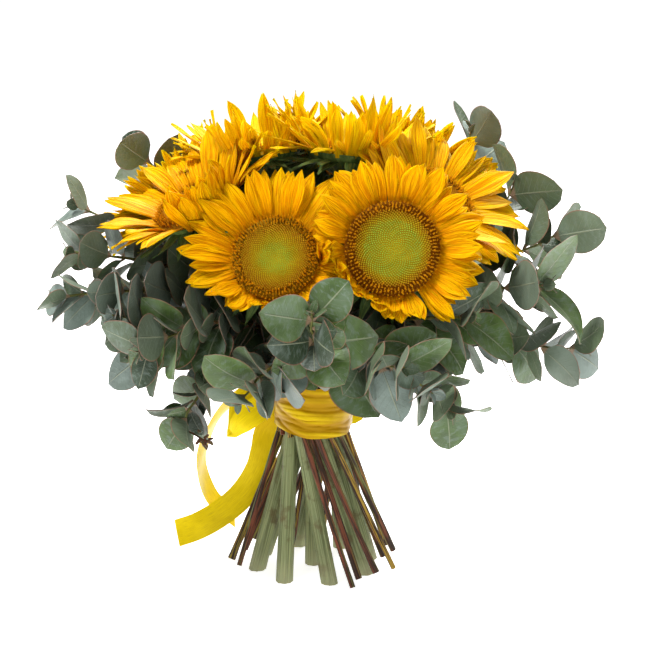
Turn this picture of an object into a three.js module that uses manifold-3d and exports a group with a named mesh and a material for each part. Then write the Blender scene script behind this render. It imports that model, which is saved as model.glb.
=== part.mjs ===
// A hand-tied bunch of nine sunflowers in a collar of silver-dollar eucalyptus. A wound yellow
// ribbon with a bow holds the waist, and the bunch stands by itself on its own cut stems.
// Units are millimetres and +Z is up. The origin is the middle of the central stem's cut end,
// on the surface that the bunch stands on, and -Y is the front.
import * as THREE from "three";
import { mergeVertices } from "three/addons/utils/BufferGeometryUtils.js";
import Module from "manifold-3d";

const wasm = await Module();
wasm.setup();

// Waist. Every stem is a straight ruling of one hyperboloid, so it slants round the axis.
const TIE_HEIGHT = 147;
const SLANT = 0.0177;
const CLEARANCE = 0.45;

// Stems
const FLOWER_STEM_R = 6.4;
const FOOT_R = 7.4;
const FOOT_HEIGHT = 110;
const TWIG_R = 2.16;
const TWIG_TIP_R = 1.2;
const PETIOLE = 1.2;
const RING_COUNT = 8;
const RING_TURN = -8;
const RING_R = 18.1;
const GROOVE_R = 23.1;
const DIP_R = 26.8;
const INNER_R = 8.6;
const STEM_SIDES = 8;
const STEM_STEPS = 4;
const NECK_START = 215;
const NECK_R = [6.2, 6, 5.8, 5.6];
const STEM_BEND = 0.36;
const TWIG_SIDES = 4;
const TWIG_START = 174;
const TWIG_BEND = 0.42;
const TWIG_FOOT = 2;
const TWIG_FOOT_MORE = 9;

// Flower head, measured from the middle of the disc along the way it faces
const DISC_BASE = -3.9;
const DISC_EDGE = 1.2;
const CALYX_TOP = -4.4;
const CALYX_DEPTH = 25;
const CUP_WAIST = 0.68;
const CUP_RISE = 0.6;
const CUP_RIM = 3.6;
const STEM_REACH = 4;

// The narrow ring that the petals grow from: distances from the disc's edge, and heights
const RING_INSIDE = 0.6;
const RING_OUTSIDE = 4.4;
const RING_CREST = 2.4;
const RING_FLOOR = -4.1;
const RING_ROOF = -0.6;
const PETAL_ROOT = 3.6;
const PETAL_HEIGHT = -2.35;

// The disc's rings of florets: shares of its radius, their heights and how far they rise and fall
const DISC_SECTORS = 18;
const DISC_SHARES = [0.3, 0.6, 0.82, 1];
const DISC_HEIGHTS = [-1.4, 0, 2.6, DISC_EDGE];
const DISC_BUMPS = [0.3, 0.6, 1.1, 0];
const DISC_MIDDLE = -2;
const DISC_INSET = 0.5;

// Petals and bracts: how many, their sizes, how they rise and turn, and how much each of these varies
const PETALS = 20;
const PETAL_WIDTH = 16.5;
const PETAL_RISE = 0.16;
const PETAL_TURN = -0.35;
const INNER_RISE = 0.5;
const INNER_SHORTER = 2;
const PETAL_VARIES = { place: 0.35, rise: 0.16, length: 7, width: 3, turn: 0.4 };
const BRACTS = 9;
const BRACT_WIDTH = 11;
const BRACT_LENGTH = 30;
const BRACT_RISE = -0.05;
const BRACT_TURN = 0.2;
const BRACT_ROOT = 0.4;
const BRACT_VARIES = { place: 0.3, rise: -0.45, length: 8 };
const KEEL = 1.3;
const ROOT_CLEARANCE = 2;

// Leaves
const FIRST_LEAVES = 0.26;
const LAST_LEAVES = 0.2;
const LEAF_LEAN = 62;
const TIP_LEAN = 22;
const LEAF_RISE = 0.12;
const LEAF_TURN = -0.4;
const LEAF_WIDE = 0.72;
const LEAF_KEPT = 0.9;
const LEAF_VARIES = { spin: 0.3, length: 0.2, width: 0.14, lean: 0.3, twist: 0.9, turn: 0.5 };
// The point that leaves turn their faces away from, and how far at most they turn
const LEAF_CENTRE = [0, 0, 230];
const MOST_TWIST = 1.2;
const LEAF_CLEARANCE = 3.2;

// Ribbon
const BAND_IN_R = 31.2;
const BAND_OUT_R = 32.3;
const BAND_SIDES = 18;
const BAND_LOW = 126;
const BAND_HIGH = 165;
const RIBBON_WIDTH = 24;
const RIBBON_THICK = 0.9;
const GATHER = 0.3;
const GATHER_RATE = 3.2;
const BAND_RIPPLES = 2;
const BAND_RIPPLE = 0.9;
const BAND_FLARE = 0.6;
// The space round the wound ribbon, and in front of the bow's left loop, that no leaf enters
const BARE_R = 50;
const BARE_LOW = 116;
const BARE_HIGH = 158;
const BARE_BOX = [30, 170, 36];
const BARE_BOX_TILT = -13;
const BARE_BOX_AT = [-60, -46, 141];
const KNOT_R = 6;
const KNOT_SCALE = [1.1, 0.9, 1.5];
const KNOT_AT = [-4, 38.5, 146];
const FOLD_LENGTH = 0.1;

const COLOURS = {
  petal: ["#f7b500", 0.6],
  disc: ["#8a8a1c", 0.8],
  stem: ["#7f9a58", 0.6],
  eucalyptus: ["#6f8a76", 0.55],
  ribbon: ["#f2c516", 0.45],
};

// Where each flower's disc lies, the way it faces, its disc's radius and how far its petals cup
const FLOWERS = [
  {
    name: "front_right", slot: 0, at: [64, -88, 297], facing: [0.06, -0.96, 0.27],
    disc: 37, cup: 0.1, length: 38, short: [135, 0.66],
  },
  {
    name: "front_left", slot: 7, at: [-30, -80, 288], facing: [-0.1, -0.86, 0.5],
    disc: 33.5, cup: 0.12, length: 43, short: [190, 0.66],
  },
  {
    name: "left", slot: 6, at: [-97, -31, 324], facing: [-0.42, -0.24, 0.875],
    disc: 33.5, cup: 0.28, length: 47, short: [0, 0],
  },
  {
    name: "right", slot: 1, at: [100, -26, 325], facing: [0.4, -0.52, 0.76],
    disc: 33.5, cup: 0.15, length: 48, short: [0, 0],
  },
  {
    name: "top_right", slot: null, at: [31, 6, 363], facing: [0.1, 0.12, 0.98],
    disc: 33.5, cup: 0.6, length: 50, short: [0, 0],
  },
  {
    name: "top_left", slot: 4, at: [-46, 28, 359], facing: [-0.2, 0.12, 0.97],
    disc: 33.5, cup: 0.6, length: 50, short: [0, 0],
  },
  {
    name: "back_right", slot: 2, at: [82, 72, 342], facing: [0.4, 0.36, 0.84],
    disc: 33.5, cup: 0.4, length: 49, short: [0, 0],
  },
  {
    name: "back_left", slot: 5, at: [-120, 56, 314], facing: [-0.72, 0.25, 0.65],
    disc: 32.5, cup: 0.25, length: 46, short: [0, 0],
  },
  {
    name: "back", slot: 3, at: [-18, 104, 318], facing: [-0.08, 0.8, 0.6],
    disc: 33.5, cup: 0.15, length: 46, short: [0, 0],
  },
];

// Each eucalyptus branch: the slot that it takes at the waist, its tip and the way it points there,
// how many pairs of leaves it bears, their length near the waist and at the tip, its turn, and how
// high its twig is cut where that is short of the other stems
const BRANCHES = [
  {
    name: "01", slot: ["groove", 194.5], tip: [-158, 104, 354], heading: [-0.55, -0.15, 0.8],
    pairs: 7, leaf: [56, 50], turn: 20, cut: 121,
  },
  {
    name: "02", slot: ["dip", 228.25], tip: [-208, 14, 318], heading: [-0.9, 0.1, 0.4],
    pairs: 7, leaf: [56, 42], turn: 60,
  },
  {
    name: "03", slot: ["groove", 239.5], tip: [-208, -24, 282], heading: [-0.97, -0.1, 0.1],
    pairs: 8, leaf: [58, 38], turn: 20,
  },
  {
    name: "04", slot: ["dip", 250.75], tip: [-216, -50, 248], heading: [-0.97, 0.1, -0.15],
    pairs: 8, leaf: [62, 36], turn: 80,
  },
  {
    name: "05", slot: ["groove", 284.5], tip: [-142, -100, 212], heading: [-0.8, -0.3, -0.5],
    pairs: 8, leaf: [62, 40], turn: 45,
  },
  {
    name: "06", slot: ["dip", 295.75], tip: [-106, -84, 144], heading: [-0.1, -0.2, -0.97],
    pairs: 7, leaf: [52, 36], turn: 10,
  },
  {
    name: "07", slot: ["dip", 318.25], tip: [-60, -122, 176], heading: [-0.5, -0.6, -0.6],
    pairs: 7, leaf: [56, 46], turn: 70,
  },
  {
    name: "08", slot: ["groove", 329.5], tip: [0, -146, 262], heading: [0, -0.3, 0.95],
    pairs: 7, leaf: [60, 46], turn: 30,
  },
  {
    name: "09", slot: ["dip", 340.75], tip: [74, -138, 212], heading: [0.55, -0.7, 0.25],
    pairs: 6, leaf: [68, 56], turn: 85,
  },
  {
    name: "10", slot: ["groove", 14.5], tip: [134, -84, 240], heading: [0.9, -0.3, 0.1],
    pairs: 6, leaf: [66, 54], turn: 20,
  },
  {
    name: "11", slot: ["dip", 25.75], tip: [116, -104, 162], heading: [0.6, -0.35, -0.7],
    pairs: 7, leaf: [56, 38], turn: 55,
  },
  {
    name: "12", slot: ["groove", 59.5], tip: [234, -14, 198], heading: [0.97, 0.1, 0.1],
    pairs: 8, leaf: [56, 42], turn: 35,
  },
  {
    name: "13", slot: ["dip", 48.25], tip: [200, -42, 258], heading: [0.97, -0.05, 0.1],
    pairs: 7, leaf: [64, 60], turn: 75,
  },
  {
    name: "14", slot: ["dip", 70.75], tip: [222, 14, 298], heading: [0.85, 0.1, 0.5],
    pairs: 7, leaf: [56, 44], turn: 15,
  },
  {
    name: "15", slot: ["dip", 93.25], tip: [176, 36, 338], heading: [0.35, 0.1, 0.93],
    pairs: 7, leaf: [56, 46], turn: 50,
  },
  {
    name: "16", slot: ["groove", 104.5], tip: [138, 84, 378], heading: [0, 0.05, 0.99],
    pairs: 7, leaf: [58, 50], turn: 5,
  },
  {
    name: "17", slot: ["dip", 115.75], tip: [158, 150, 268], heading: [0.7, 0.7, 0.15],
    pairs: 6, leaf: [60, 42], turn: 65,
  },
  {
    name: "18", slot: ["dip", 138.25], tip: [62, 192, 240], heading: [0.3, 0.94, 0.0],
    pairs: 6, leaf: [60, 42], turn: 25,
  },
  {
    name: "19", slot: ["dip", 160.75], tip: [-40, 196, 272], heading: [-0.2, 0.94, 0.25],
    pairs: 6, leaf: [60, 42], turn: 70, cut: 121,
  },
  {
    name: "20", slot: ["dip", 183.25], tip: [-146, 144, 244], heading: [-0.72, 0.68, 0.05],
    pairs: 6, leaf: [60, 42], turn: 40, cut: 121,
  },
  {
    name: "22", slot: ["dip", 273.25], tip: [-166, -74, 240], heading: [-0.85, -0.4, 0.3],
    pairs: 8, leaf: [60, 50], turn: 10,
  },
  {
    name: "23", slot: ["dip", 3.25], tip: [98, -128, 186], heading: [0.6, -0.6, -0.3],
    pairs: 6, leaf: [60, 50], turn: 50,
  },
  {
    name: "24", slot: ["dip", 205.75], tip: [-150, -62, 196], heading: [-0.85, -0.3, -0.4],
    pairs: 7, leaf: [60, 44], turn: 35, cut: 121,
  },
  {
    name: "25", slot: ["groove", 149.5], tip: [-192, 30, 222], heading: [-0.95, -0.25, -0.3],
    pairs: 7, leaf: [60, 46], turn: 15, cut: 121,
  },
  {
    name: "21", slot: ["inner", 82], tip: [36, 134, 352], heading: [0.15, 0.4, 0.9],
    pairs: 5, leaf: [50, 42], turn: 0,
  },
];

// A blade's half width at shares of its length, as shares of its full width
const PETAL_OUTLINE = [[0, 0.2], [0.42, 0.5], [0.78, 0.34]];
const BRACT_OUTLINE = [[0, 0.42], [0.4, 0.44]];
const LEAF_OUTLINE = [[0.3, 0.5], [0.7, 0.42]];
const SMALL_LEAF_OUTLINE = [[0.48, 0.5]];
const SMALL_LEAF = 30;

// What a blade tries in turn until it is clear of its neighbours: how much further it rises,
// and the share of its length that it keeps
const PETAL_TRIES = [
  [0, 1], [0.25, 1], [-0.2, 1], [0.5, 1], [0.75, 0.95], [0.4, 0.8], [0.95, 0.85], [1.1, 0.7],
  [0.5, 0.6], [0, 0.55],
];
const BRACT_TRIES = [
  [0, 1], [-0.3, 1], [0.2, 0.9], [-0.6, 0.9], [-0.2, 0.65], [-0.7, 0.6], [0.1, 0.5],
];
// For a leaf also how far it swings round its twig
const LEAF_TRIES = [
  [0, 1, 0], [0, 1, 0.45], [0, 1, -0.45], [0.35, 1, 0], [-0.35, 1, 0], [0.3, 0.95, 0.8],
  [0.3, 0.95, -0.8], [-0.3, 0.95, 0.8], [-0.3, 0.95, -0.8], [0.7, 0.9, 0], [0.1, 0.8, 0],
  [0.6, 0.75, 0.5], [0.6, 0.75, -0.5], [-0.4, 0.7, 0.4], [-0.4, 0.7, -0.4], [0.1, 0.6, 0],
  [0.5, 0.55, 0.9], [0.5, 0.55, -0.9],
];

// A fixed draw from 0 to 1 for a numbered thing
function draw(index, salt) {
  const wave = Math.sin(index * 12.9898 + salt * 78.233) * 43758.5453;
  return wave - Math.floor(wave);
}

function radians(degrees) {
  return (degrees * Math.PI) / 180;
}

// Solids

function solidOf(geometry) {
  const bare = geometry.index ? geometry.toNonIndexed() : geometry.clone();
  bare.deleteAttribute("normal");
  bare.deleteAttribute("uv");
  const merged = mergeVertices(bare, 1e-4);
  return new wasm.Manifold(
    new wasm.Mesh({
      numProp: 3,
      vertProperties: new Float32Array(merged.attributes.position.array),
      triVerts: new Uint32Array(merged.index.array),
    }),
  );
}

function geometryOf(solid) {
  const mesh = solid.getMesh();
  const positions = new Float32Array(mesh.numVert * 3);
  for (let i = 0; i < mesh.numVert; i++)
    positions.set(mesh.vertProperties.subarray(i * mesh.numProp, i * mesh.numProp + 3), i * 3);
  const geometry = new THREE.BufferGeometry();
  geometry.setAttribute("position", new THREE.BufferAttribute(positions, 3));
  geometry.setIndex(new THREE.BufferAttribute(new Uint32Array(mesh.triVerts), 1));
  geometry.computeVertexNormals();
  return geometry;
}

function meshOfTriangles(points, triangles) {
  const geometry = new THREE.BufferGeometry();
  const positions = points.flatMap((p) => [p.x, p.y, p.z]);
  geometry.setAttribute("position", new THREE.Float32BufferAttribute(positions, 3));
  geometry.setIndex(triangles);
  return geometry;
}

// Triangles that fill the band between a panel's four corners and the root of a blade in it,
// taken by their angles round the middle of the root
function fillBand(points, outer, inner) {
  const [a, b, , d] = outer.map((i) => points[i]);
  const normal = b.clone().sub(a).cross(d.clone().sub(a)).normalize();
  const middle = new THREE.Vector3();
  for (const i of inner) middle.addScaledVector(points[i], 1 / inner.length);
  const u = squareTo(normal, a.clone().sub(middle));
  const v = normal.clone().cross(u);
  const angle = (i) => {
    const w = points[i].clone().sub(middle);
    return (Math.atan2(w.dot(v), w.dot(u)) + 2 * Math.PI) % (2 * Math.PI);
  };
  const first = inner.map(angle).reduce((best, t, i, all) => (t < all[best] ? i : best), 0);
  const loop = inner.map((_, i) => inner[(first + i) % inner.length]);
  const triangles = [];
  let [i, j] = [0, 0];
  while (i < outer.length || j < loop.length) {
    const nextOuter = i + 1 < outer.length ? angle(outer[i + 1]) : 2 * Math.PI;
    const nextInner = (j + 1) % loop.length ? angle(loop[j + 1]) : 2 * Math.PI + angle(loop[0]);
    const from = outer[i % outer.length];
    if (j === loop.length || (i < outer.length && nextOuter < nextInner)) {
      triangles.push(from, outer[(i + 1) % outer.length], loop[j % loop.length]);
      i++;
    } else {
      triangles.push(from, loop[(j + 1) % loop.length], loop[j % loop.length]);
      j++;
    }
  }
  return triangles;
}

// A closed skin over rings of equal count, capped at both ends or closed on itself. A blade can
// grow out of any panel, which then opens round the blade's root.
function skin(rings, blades = [], closed = false) {
  const points = rings.flat();
  const sides = rings[0].length;
  const triangles = [];
  const bands = closed ? rings.length : rings.length - 1;
  for (let r = 0; r < bands; r++)
    for (let k = 0; k < sides; k++) {
      const above = ((r + 1) % rings.length) * sides;
      const next = (k + 1) % sides;
      const panel = [r * sides + k, r * sides + next, above + next, above + k];
      const blade = blades.find((b) => b.ring === r && b.side === k);
      if (!blade) {
        triangles.push(panel[0], panel[1], panel[2], panel[0], panel[2], panel[3]);
        continue;
      }
      const { spots, faces } = bladeFaces(blade);
      const root = points.length;
      points.push(...spots);
      triangles.push(...faces.map((f) => f + root));
      triangles.push(...fillBand(points, panel, [root, root + 1, root + 2]));
    }
  const last = (rings.length - 1) * sides;
  for (let k = 1; k + 1 < sides && !closed; k++) {
    triangles.push(0, k + 1, k);
    triangles.push(last, last + k, last + k + 1);
  }
  return meshOfTriangles(points, triangles);
}

// The direction nearest to a wanted one that stands square to a way along
function squareTo(along, wanted) {
  return wanted.clone().addScaledVector(along, -wanted.dot(along)).normalize();
}

// Rings of a tapered stem along points, each turned from the wanted side, the first one cut level
// where asked
function stemRings(points, radii, sides, wanted, spin, levelCut) {
  const rings = [];
  points.forEach((p, i) => {
    const before = points[Math.max(i - 1, 0)];
    const after = points[Math.min(i + 1, points.length - 1)];
    const along = after.clone().sub(before).normalize();
    const across = squareTo(along, wanted);
    const third = along.clone().cross(across);
    const ring = [];
    for (let k = 0; k < sides; k++) {
      const turn = spin + (2 * Math.PI * (k + 0.5)) / sides;
      const q = p
        .clone()
        .addScaledVector(across, radii[i] * Math.cos(turn))
        .addScaledVector(third, radii[i] * Math.sin(turn));
      if (i === 0 && levelCut) q.addScaledVector(along, (p.z - q.z) / along.z);
      ring.push(q);
    }
    rings.push(ring);
  });
  return rings;
}

// A blade's middle line is an arc that starts at a rise above the way out and turns as it goes.
// Gives a function that puts a point across and above the line at a share of its length.
function station({ root, out, up, length, rise, turn }, share) {
  const side = out.clone().cross(up);
  const angle = rise + turn * share;
  const half = (turn * share) / 2;
  const reach = length * share * (Math.abs(half) < 1e-6 ? 1 : Math.sin(half) / half);
  const at = root
    .clone()
    .addScaledVector(out, reach * Math.cos(rise + half))
    .addScaledVector(up, reach * Math.sin(rise + half));
  const normal = up.clone().multiplyScalar(Math.cos(angle)).addScaledVector(out, -Math.sin(angle));
  return (across, lift) => at.clone().addScaledVector(side, across).addScaledVector(normal, lift);
}

// The faces of a thin blade, flat above and keeled below, open at the root
function bladeFaces(blade) {
  const { width, outline } = blade;
  const spots = [];
  const faces = [];
  for (const [share, half] of outline) {
    const put = station(blade, share);
    spots.push(put(-half * width, KEEL / 2), put(half * width, KEEL / 2), put(0, -KEEL / 2));
  }
  spots.push(station(blade, 1)(0, KEEL / 3));
  for (let i = 0; i < outline.length; i++)
    for (let k = 0; k < 3; k++) {
      const a = i * 3 + k;
      const b = i * 3 + ((k + 1) % 3);
      if (i + 1 < outline.length) faces.push(a, b, b + 3, a, b + 3, a + 3);
      else faces.push(a, b, outline.length * 3);
    }
  return { spots, faces };
}

// A blade by itself, closed at the root
function bladeSolid(blade) {
  const { spots, faces } = bladeFaces(blade);
  return solidOf(meshOfTriangles(spots, [...faces, 0, 2, 1]));
}

// The thicker, blunter copy that a blade's clearance is tried with
function swollenBlade(blade) {
  const { width, length, outline, start } = blade;
  const rings = [];
  const first = [start / length, outline[0][1]];
  const last = [1 + CLEARANCE / length, 0];
  for (const [share, half] of [first, ...outline.slice(1), last]) {
    const put = station(blade, share);
    const w = half * width + CLEARANCE;
    const top = KEEL / 2 + CLEARANCE;
    const keel = put(0, -KEEL / 2 - CLEARANCE);
    rings.push([put(-w, top), put(w, top), put(w, -CLEARANCE), keel, put(-w, -CLEARANCE)]);
  }
  return solidOf(skin(rings));
}

// The solids placed so far, which a new blade has to clear

const placed = [];

function boxesMeet(a, b) {
  return [0, 1, 2].every((i) => a.min[i] <= b.max[i] && b.min[i] <= a.max[i]);
}

function remember(solid, owner) {
  placed.push({ solid, owner, box: solid.boundingBox() });
}

function isClear(solid, spared) {
  const box = solid.boundingBox();
  const meets = (other) => boxesMeet(box, other.box) && !solid.intersect(other.solid).isEmpty();
  return !placed.some((other) => other.owner !== spared && meets(other));
}

// Tries the shapes in turn and keeps the first that is clear of everything. Its own base may touch
// the blade itself, and where the base is spared also the space round it.
function settle(shapes, base, spareBase) {
  const spared = spareBase ? base : null;
  const fits = (shape) => isClear(swollenBlade(shape), spared) && isClear(bladeSolid(shape), base);
  const shape = shapes.find(fits);
  if (!shape) return [];
  remember(bladeSolid(shape), "");
  return [shape];
}

// Waist slots and stems

function slotPoint(kind, degrees) {
  const r = { ring: RING_R, groove: GROOVE_R, dip: DIP_R, inner: INNER_R }[kind];
  return [r * Math.cos(radians(degrees)), r * Math.sin(radians(degrees))];
}

function ruling([x, y], z) {
  const h = z - TIE_HEIGHT;
  return new THREE.Vector3(x + h * SLANT * y, y - h * SLANT * x, z);
}

// A smooth curve that leaves one point along a heading and reaches another along another
function bend(from, leaving, to, arriving, pull) {
  const reach = from.distanceTo(to) * pull;
  return new THREE.CubicBezierCurve3(
    from,
    from.clone().addScaledVector(leaving, reach),
    to.clone().addScaledVector(arriving, -reach),
    to,
  );
}

// Flowers

function headFrame(flower) {
  const facing = new THREE.Vector3(...flower.facing).normalize();
  const level = Math.abs(facing.z) > 0.9;
  const reference = level ? new THREE.Vector3(0, -1, 0) : new THREE.Vector3(0, 0, 1);
  const upward = reference.addScaledVector(facing, -reference.dot(facing)).normalize();
  const sideways = facing.clone().cross(upward);
  return { centre: new THREE.Vector3(...flower.at), facing, upward, sideways };
}

function headMatrix({ centre, facing, upward, sideways }) {
  return new THREE.Matrix4().makeBasis(upward, sideways, facing).setPosition(centre);
}

// Rings of points round the head's axis whose flats lie at the given distances
function headRings(frame, sectors, profile) {
  const corner = 1 / Math.cos(Math.PI / sectors);
  return profile.map(([r, z]) =>
    Array.from({ length: sectors }, (_, k) =>
      frame.centre
        .clone()
        .addScaledVector(wayRound(frame, (2 * Math.PI * (k - 0.5)) / sectors), r * corner)
        .addScaledVector(frame.facing, z),
    ),
  );
}

function wayRound(frame, angle) {
  const up = frame.upward.clone().multiplyScalar(Math.cos(angle));
  return up.addScaledVector(frame.sideways, Math.sin(angle));
}

// The green cup under the disc. Its bracts grow from the upper slope.
function calyxRings(flower, frame) {
  return headRings(frame, BRACTS, [
    [FLOWER_STEM_R + 1, -CALYX_DEPTH],
    [flower.disc * CUP_WAIST, -CALYX_DEPTH * CUP_RISE],
    [flower.disc + CUP_RIM, CALYX_TOP],
  ]);
}

// The narrow ring that the petals grow from
function petalRings(flower, frame) {
  return headRings(frame, PETALS, [
    [flower.disc + RING_INSIDE, RING_FLOOR],
    [flower.disc + RING_OUTSIDE, RING_FLOOR],
    [flower.disc + RING_CREST, RING_ROOF],
  ]);
}

function flowerStem(flower, frame) {
  const turn = RING_TURN + (360 / RING_COUNT) * flower.slot;
  const slot = flower.slot === null ? [0, 0] : slotPoint("ring", turn);
  const neck = ruling(slot, NECK_START);
  const leaving = neck.clone().sub(ruling(slot, 0)).normalize();
  const end = frame.centre.clone().addScaledVector(frame.facing, STEM_REACH - CALYX_DEPTH);
  const curve = bend(neck, leaving, end, frame.facing, STEM_BEND);
  const points = [ruling(slot, 0), ruling(slot, FOOT_HEIGHT), ...curve.getPoints(STEM_STEPS)];
  const radii = [FOOT_R, FLOWER_STEM_R, FLOWER_STEM_R, ...NECK_R];
  return solidOf(skin(stemRings(points, radii, STEM_SIDES, new THREE.Vector3(1, 0, 0), 0, true)));
}

// The disc: spiral rows of floret bumps over a shallow dish, with the open florets raised at the rim
function discSolid(flower, frame) {
  const edge = flower.disc - DISC_INSET;
  const points = [new THREE.Vector3(0, 0, DISC_MIDDLE)];
  DISC_SHARES.forEach((share, ring) => {
    for (let k = 0; k < DISC_SECTORS; k++) {
      const turn = (2 * Math.PI * (k + ring / 2)) / DISC_SECTORS;
      const lift = DISC_HEIGHTS[ring] + DISC_BUMPS[ring] * (((k + ring) % 2) * 2 - 1);
      const reach = edge * share;
      points.push(new THREE.Vector3(reach * Math.cos(turn), reach * Math.sin(turn), lift));
    }
  });
  const rim = 1 + (DISC_SHARES.length - 1) * DISC_SECTORS;
  const base = points.length;
  for (let k = 0; k < DISC_SECTORS; k++) points.push(points[rim + k].clone().setZ(DISC_BASE));
  points.push(new THREE.Vector3(0, 0, DISC_BASE));
  const triangles = [];
  for (let k = 0; k < DISC_SECTORS; k++) {
    const next = (k + 1) % DISC_SECTORS;
    triangles.push(0, 1 + k, 1 + next);
    for (let ring = 0; ring + 1 < DISC_SHARES.length; ring++) {
      const a = 1 + ring * DISC_SECTORS;
      const above = a + DISC_SECTORS;
      triangles.push(a + k, above + k, a + next);
      triangles.push(a + next, above + k, above + next);
    }
    triangles.push(rim + k, base + k, base + next, rim + k, base + next, rim + next);
    triangles.push(base + DISC_SECTORS, base + next, base + k);
  }
  return solidOf(meshOfTriangles(points, triangles).applyMatrix4(headMatrix(frame)));
}

// The shapes that petal number k tries, from the open one to the most crowded
function petalShapes(flower, frame, serial, k) {
  const id = serial * 100 + k;
  const angle = (2 * Math.PI * (k + PETAL_VARIES.place * (draw(id, 1) - 0.5))) / PETALS;
  const inner = k % 2;
  const out = wayRound(frame, angle);
  const root = frame.centre
    .clone()
    .addScaledVector(out, flower.disc + PETAL_ROOT)
    .addScaledVector(frame.facing, PETAL_HEIGHT);
  const raised = flower.cup + (inner ? INNER_RISE : PETAL_RISE);
  const rise = raised + PETAL_VARIES.rise * (draw(id, 2) - 0.5);
  const [shortWay, shortBy] = flower.short;
  const crowded = shortBy * Math.max(0, Math.cos(angle - radians(shortWay)));
  const full = flower.length + PETAL_VARIES.length * (draw(id, 3) - 0.5) - inner * INNER_SHORTER;
  const width = PETAL_WIDTH + PETAL_VARIES.width * (draw(id, 4) - 0.5);
  const turn = PETAL_TURN + PETAL_VARIES.turn * (draw(id, 5) - 0.5);
  return PETAL_TRIES.map(([more, keep]) => ({
    root, out, width, turn,
    up: frame.facing,
    length: full * (1 - crowded) * keep,
    rise: rise + more,
    outline: PETAL_OUTLINE,
    start: ROOT_CLEARANCE,
    ring: 1,
    side: k,
  }));
}

function bractShapes(flower, frame, serial, k) {
  const id = serial * 100 + k + 50;
  const angle = (2 * Math.PI * (k + BRACT_VARIES.place * (draw(id, 1) - 0.5))) / BRACTS;
  const out = wayRound(frame, angle);
  const root = frame.centre
    .clone()
    .addScaledVector(out, (flower.disc * (1 + CUP_WAIST) + CUP_RIM) / 2 + BRACT_ROOT)
    .addScaledVector(frame.facing, (CALYX_TOP - CALYX_DEPTH * CUP_RISE) / 2);
  const rise = BRACT_RISE + BRACT_VARIES.rise * draw(id, 2);
  const length = BRACT_LENGTH + BRACT_VARIES.length * (draw(id, 3) - 0.5);
  return BRACT_TRIES.map(([more, keep]) => ({
    root, out,
    up: frame.facing,
    length: length * keep,
    width: BRACT_WIDTH,
    rise: rise + more,
    turn: BRACT_TURN,
    outline: BRACT_OUTLINE,
    start: ROOT_CLEARANCE,
    ring: 1,
    side: k,
  }));
}

// Eucalyptus

function branchSlot(branch) {
  return slotPoint(branch.slot[0], branch.slot[1]);
}

function branchCurve(branch) {
  const slot = branchSlot(branch);
  const from = ruling(slot, TWIG_START);
  const leaving = from.clone().sub(ruling(slot, 0)).normalize();
  const heading = new THREE.Vector3(...branch.heading).normalize();
  return bend(from, leaving, new THREE.Vector3(...branch.tip), heading, TWIG_BEND);
}

// A level direction square to the plane that the branch leans out in
function branchSide(branch) {
  const from = ruling(branchSlot(branch), TWIG_START);
  const reach = new THREE.Vector3(...branch.tip).sub(from).setZ(0);
  return new THREE.Vector3(0, 0, 1).cross(reach).normalize();
}

// The share of the branch's curve at a place counted in pairs of leaves
function pairShare(branch, place) {
  const along = (place + 0.5) / (branch.pairs + LAST_LEAVES);
  return Math.min(FIRST_LEAVES + (1 - FIRST_LEAVES) * along, 1);
}

function twigRadius(share) {
  return THREE.MathUtils.lerp(TWIG_R, TWIG_TIP_R, share);
}

// Four-sided rings, with one pair of leaves to each stretch past the bare ones
function twigRings(branch, serial) {
  const curve = branchCurve(branch);
  const shares = [0, FIRST_LEAVES / 2];
  for (let place = 0; place <= branch.pairs; place++) shares.push(pairShare(branch, place - 0.5));
  const cut = branch.cut ?? TWIG_FOOT + TWIG_FOOT_MORE * draw(serial, 11);
  const foot = ruling(branchSlot(branch), cut);
  const points = [foot, ...shares.map((share) => curve.getPoint(share))];
  const radii = [TWIG_R, ...shares.map(twigRadius)];
  return stemRings(points, radii, TWIG_SIDES, branchSide(branch), radians(branch.turn), false);
}

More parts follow.
